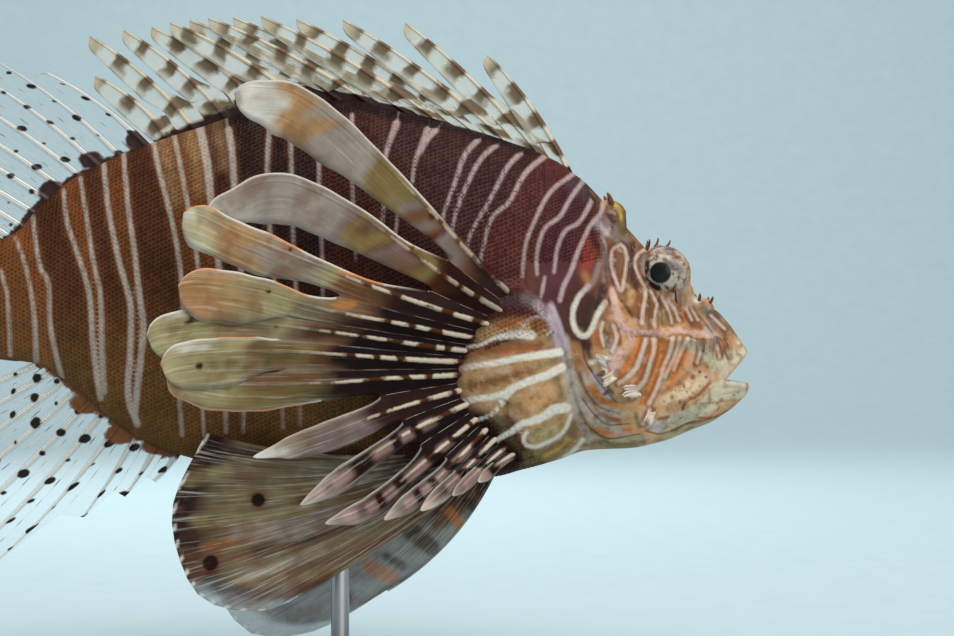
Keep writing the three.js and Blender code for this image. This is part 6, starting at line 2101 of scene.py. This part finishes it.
# The rod's foot as radius and height above its lower end, and the cup at its top as height below the top
ROD_FOOT = [(7.0, 0.0), (7.0, 1.2), (6.7, 1.6), (4.6, 2.4), (3.9, 3.2), (3.7, 5.2), (3.4, 5.6)]
ROD_FOOT_TOP = 5.7
ROD_SUNK = 3
CUP_LOW = 6.5
CUP_BEVEL = 1.1
CUP_WALL = 0.9
ROD_AROUND = 64
STAND_SHARP = math.radians(35)


class LIONFISH_OT_stand(bpy.types.Operator):
    """Make the wooden base and the steel rod"""

    bl_idname = "lionfish.stand"
    bl_label = "Stand"

    def execute(self, context):
        half_x, half_y = (BASE_HIGH - BASE_LOW)[:2] / 2
        rings = []
        for inset, z in (*BASE_LAYERS, (BASE_TOP_INSET, BASE_HIGH[2] - BASE_LOW[2])):
            outline = rounded_outline(half_x - inset, half_y - inset, BASE_CORNER - inset, 12)
            rings.append(np.column_stack([outline, np.full(len(outline), z)]))
        stand_piece("display_base", rings, len(rings[0]), wood_finish(), "base", "stand_base")
        radius = (ROD_HIGH[0] - ROD_LOW[0]) / 2
        top = BELLY(0.0) + LIFT + ROD_SUNK
        low = ROD_LOW[2]
        profile = [(r, low + z) for r, z in (*ROD_FOOT, (radius, ROD_FOOT_TOP))]
        profile += [(radius, top - CUP_LOW), (radius + CUP_WALL, top - CUP_LOW + CUP_BEVEL)]
        profile += [(radius + CUP_WALL, top)]
        turn = turns(ROD_AROUND)
        rings = [np.stack([r * np.cos(turn), r * np.sin(turn), 0 * turn + z], -1) for r, z in profile]
        stand_piece("display_rod", rings, ROD_AROUND, steel_finish(), "rod", "stand_rod")
        return {"FINISHED"}


# The floor and the wall behind it, in metres, with a round bend between them
FLOOR_HALF = 6.0
FLOOR_NEAR = -4.0
FLOOR_BACK = 2.6
FLOOR_BEND = 1.2
WALL_HEIGHT = 4.0
FISH_PLACE = (0.02, 0.0, 0.13)
WALL_PLACE = (0.0, FLOOR_BACK, 0.7)
# Lights: name, setting, place, aim, size and colour
LIGHTS = [
    ("key_light", "key", (0.1, -0.55, 1.25), FISH_PLACE, 0.8, (1.0, 0.98, 0.95)),
    ("fill_light", "fill", (0.6, -1.0, 0.35), FISH_PLACE, 1.0, (1.0, 0.98, 0.96)),
    ("back_light", "back", (-0.25, 0.85, 0.75), FISH_PLACE, 0.8, (0.93, 0.98, 1.0)),
    ("wall_light", "wall", (0.0, 0.9, 1.9), WALL_PLACE, 1.6, (0.95, 0.98, 1.0)),
]
SKY_COLOUR = (0.93, 0.97, 1.0, 1.0)
SENSOR_WIDTH = 36.0


class LIONFISH_OT_stage(bpy.types.Operator):
    """Set the floor, backdrop, lights and camera"""

    bl_idname = "lionfish.stage"
    bl_label = "Stage"

    def execute(self, context):
        settings = context.scene.lionfish_stage
        turn = np.linspace(0, np.pi / 2, 16)
        bend = zip(FLOOR_BACK - FLOOR_BEND * (1 - np.sin(turn)), FLOOR_BEND * (1 - np.cos(turn)))
        profile = [(FLOOR_NEAR, 0.0), *bend, (FLOOR_BACK, WALL_HEIGHT)]
        places = np.array([(x, y, z) for y, z in profile for x in (-FLOOR_HALF, FLOOR_HALF)])
        faces = [(k, k + 1, k + 3, k + 2) for k in range(0, len(places) - 2, 2)]
        floor = build_mesh("backdrop", places, faces, {}, stage_finish())
        for name, power, place, aim, size, colour in LIGHTS:
            lamp = bpy.data.lights.new(name, "AREA")
            lamp.size = size
            lamp.energy = getattr(settings, power)
            lamp.color = colour
            made = bpy.data.objects.new(name, lamp)
            made.location = place
            made.rotation_euler = Vector(np.subtract(aim, place)).to_track_quat("-Z", "Y").to_euler()
            context.scene.collection.objects.link(made)
        world = bpy.data.worlds.new("studio")
        world.use_nodes = True
        sky = world.node_tree.nodes["Background"]
        sky.inputs["Color"].default_value = SKY_COLOUR
        sky.inputs["Strength"].default_value = settings.sky
        context.scene.world = world
        camera = bpy.data.cameras.new("camera")
        camera.lens = settings.lens
        camera.sensor_width = SENSOR_WIDTH
        view = bpy.data.objects.new("camera", camera)
        view.location = (VIEW_X * MM, -VIEW_DISTANCE * MM, (VIEW_Z + LIFT) * MM)
        view.rotation_euler = (math.pi / 2, 0, 0)
        context.scene.collection.objects.link(view)
        context.scene.camera = view
        context.scene.view_settings.view_transform = "Standard"
        return {"FINISHED"}


GROUPS = {
    "lionfish_skin": LionfishSkin, "lionfish_scales": LionfishScales, "lionfish_colours": LionfishColours,
    "lionfish_stage": LionfishStage,
}
OPERATORS = (
    LIONFISH_OT_skin, LIONFISH_OT_scales, LIONFISH_OT_eyes, LIONFISH_OT_head_trim,
    LIONFISH_OT_pectoral_fins, LIONFISH_OT_pelvic_fins, LIONFISH_OT_dorsal_spines,
    LIONFISH_OT_clear_fins, LIONFISH_OT_stand, LIONFISH_OT_stage,
)


class LIONFISH_PT_panel(bpy.types.Panel):
    """Lists the lionfish's pieces and their sizes"""

    bl_idname = "LIONFISH_PT_panel"
    bl_label = "Lionfish"
    bl_space_type = "VIEW_3D"
    bl_region_type = "UI"
    bl_category = "Lionfish"

    def draw(self, context):
        for operator in OPERATORS:
            self.layout.operator(operator.bl_idname)
        for name, group in GROUPS.items():
            box = self.layout.box()
            for key in group.__annotations__:
                box.prop(getattr(context.scene, name), key)


def register():
    """Adds the settings, operators and panel."""
    for cls in (*GROUPS.values(), *OPERATORS, LIONFISH_PT_panel):
        bpy.utils.register_class(cls)
    for name, group in GROUPS.items():
        setattr(bpy.types.Scene, name, bpy.props.PointerProperty(type=group))


def unregister():
    """Takes them away again."""
    for name in GROUPS:
        delattr(bpy.types.Scene, name)
    for cls in reversed((*GROUPS.values(), *OPERATORS, LIONFISH_PT_panel)):
        bpy.utils.unregister_class(cls)


def main():
    """Builds the whole model."""
    register()
    bpy.ops.lionfish.skin()
    bpy.ops.lionfish.scales()
    bpy.ops.lionfish.eyes()
    bpy.ops.lionfish.head_trim()
    bpy.ops.lionfish.pectoral_fins()
    bpy.ops.lionfish.pelvic_fins()
    bpy.ops.lionfish.dorsal_spines()
    bpy.ops.lionfish.clear_fins()
    bpy.ops.lionfish.stand()
    bpy.ops.lionfish.stage()


if __name__ == "__main__":
    main()
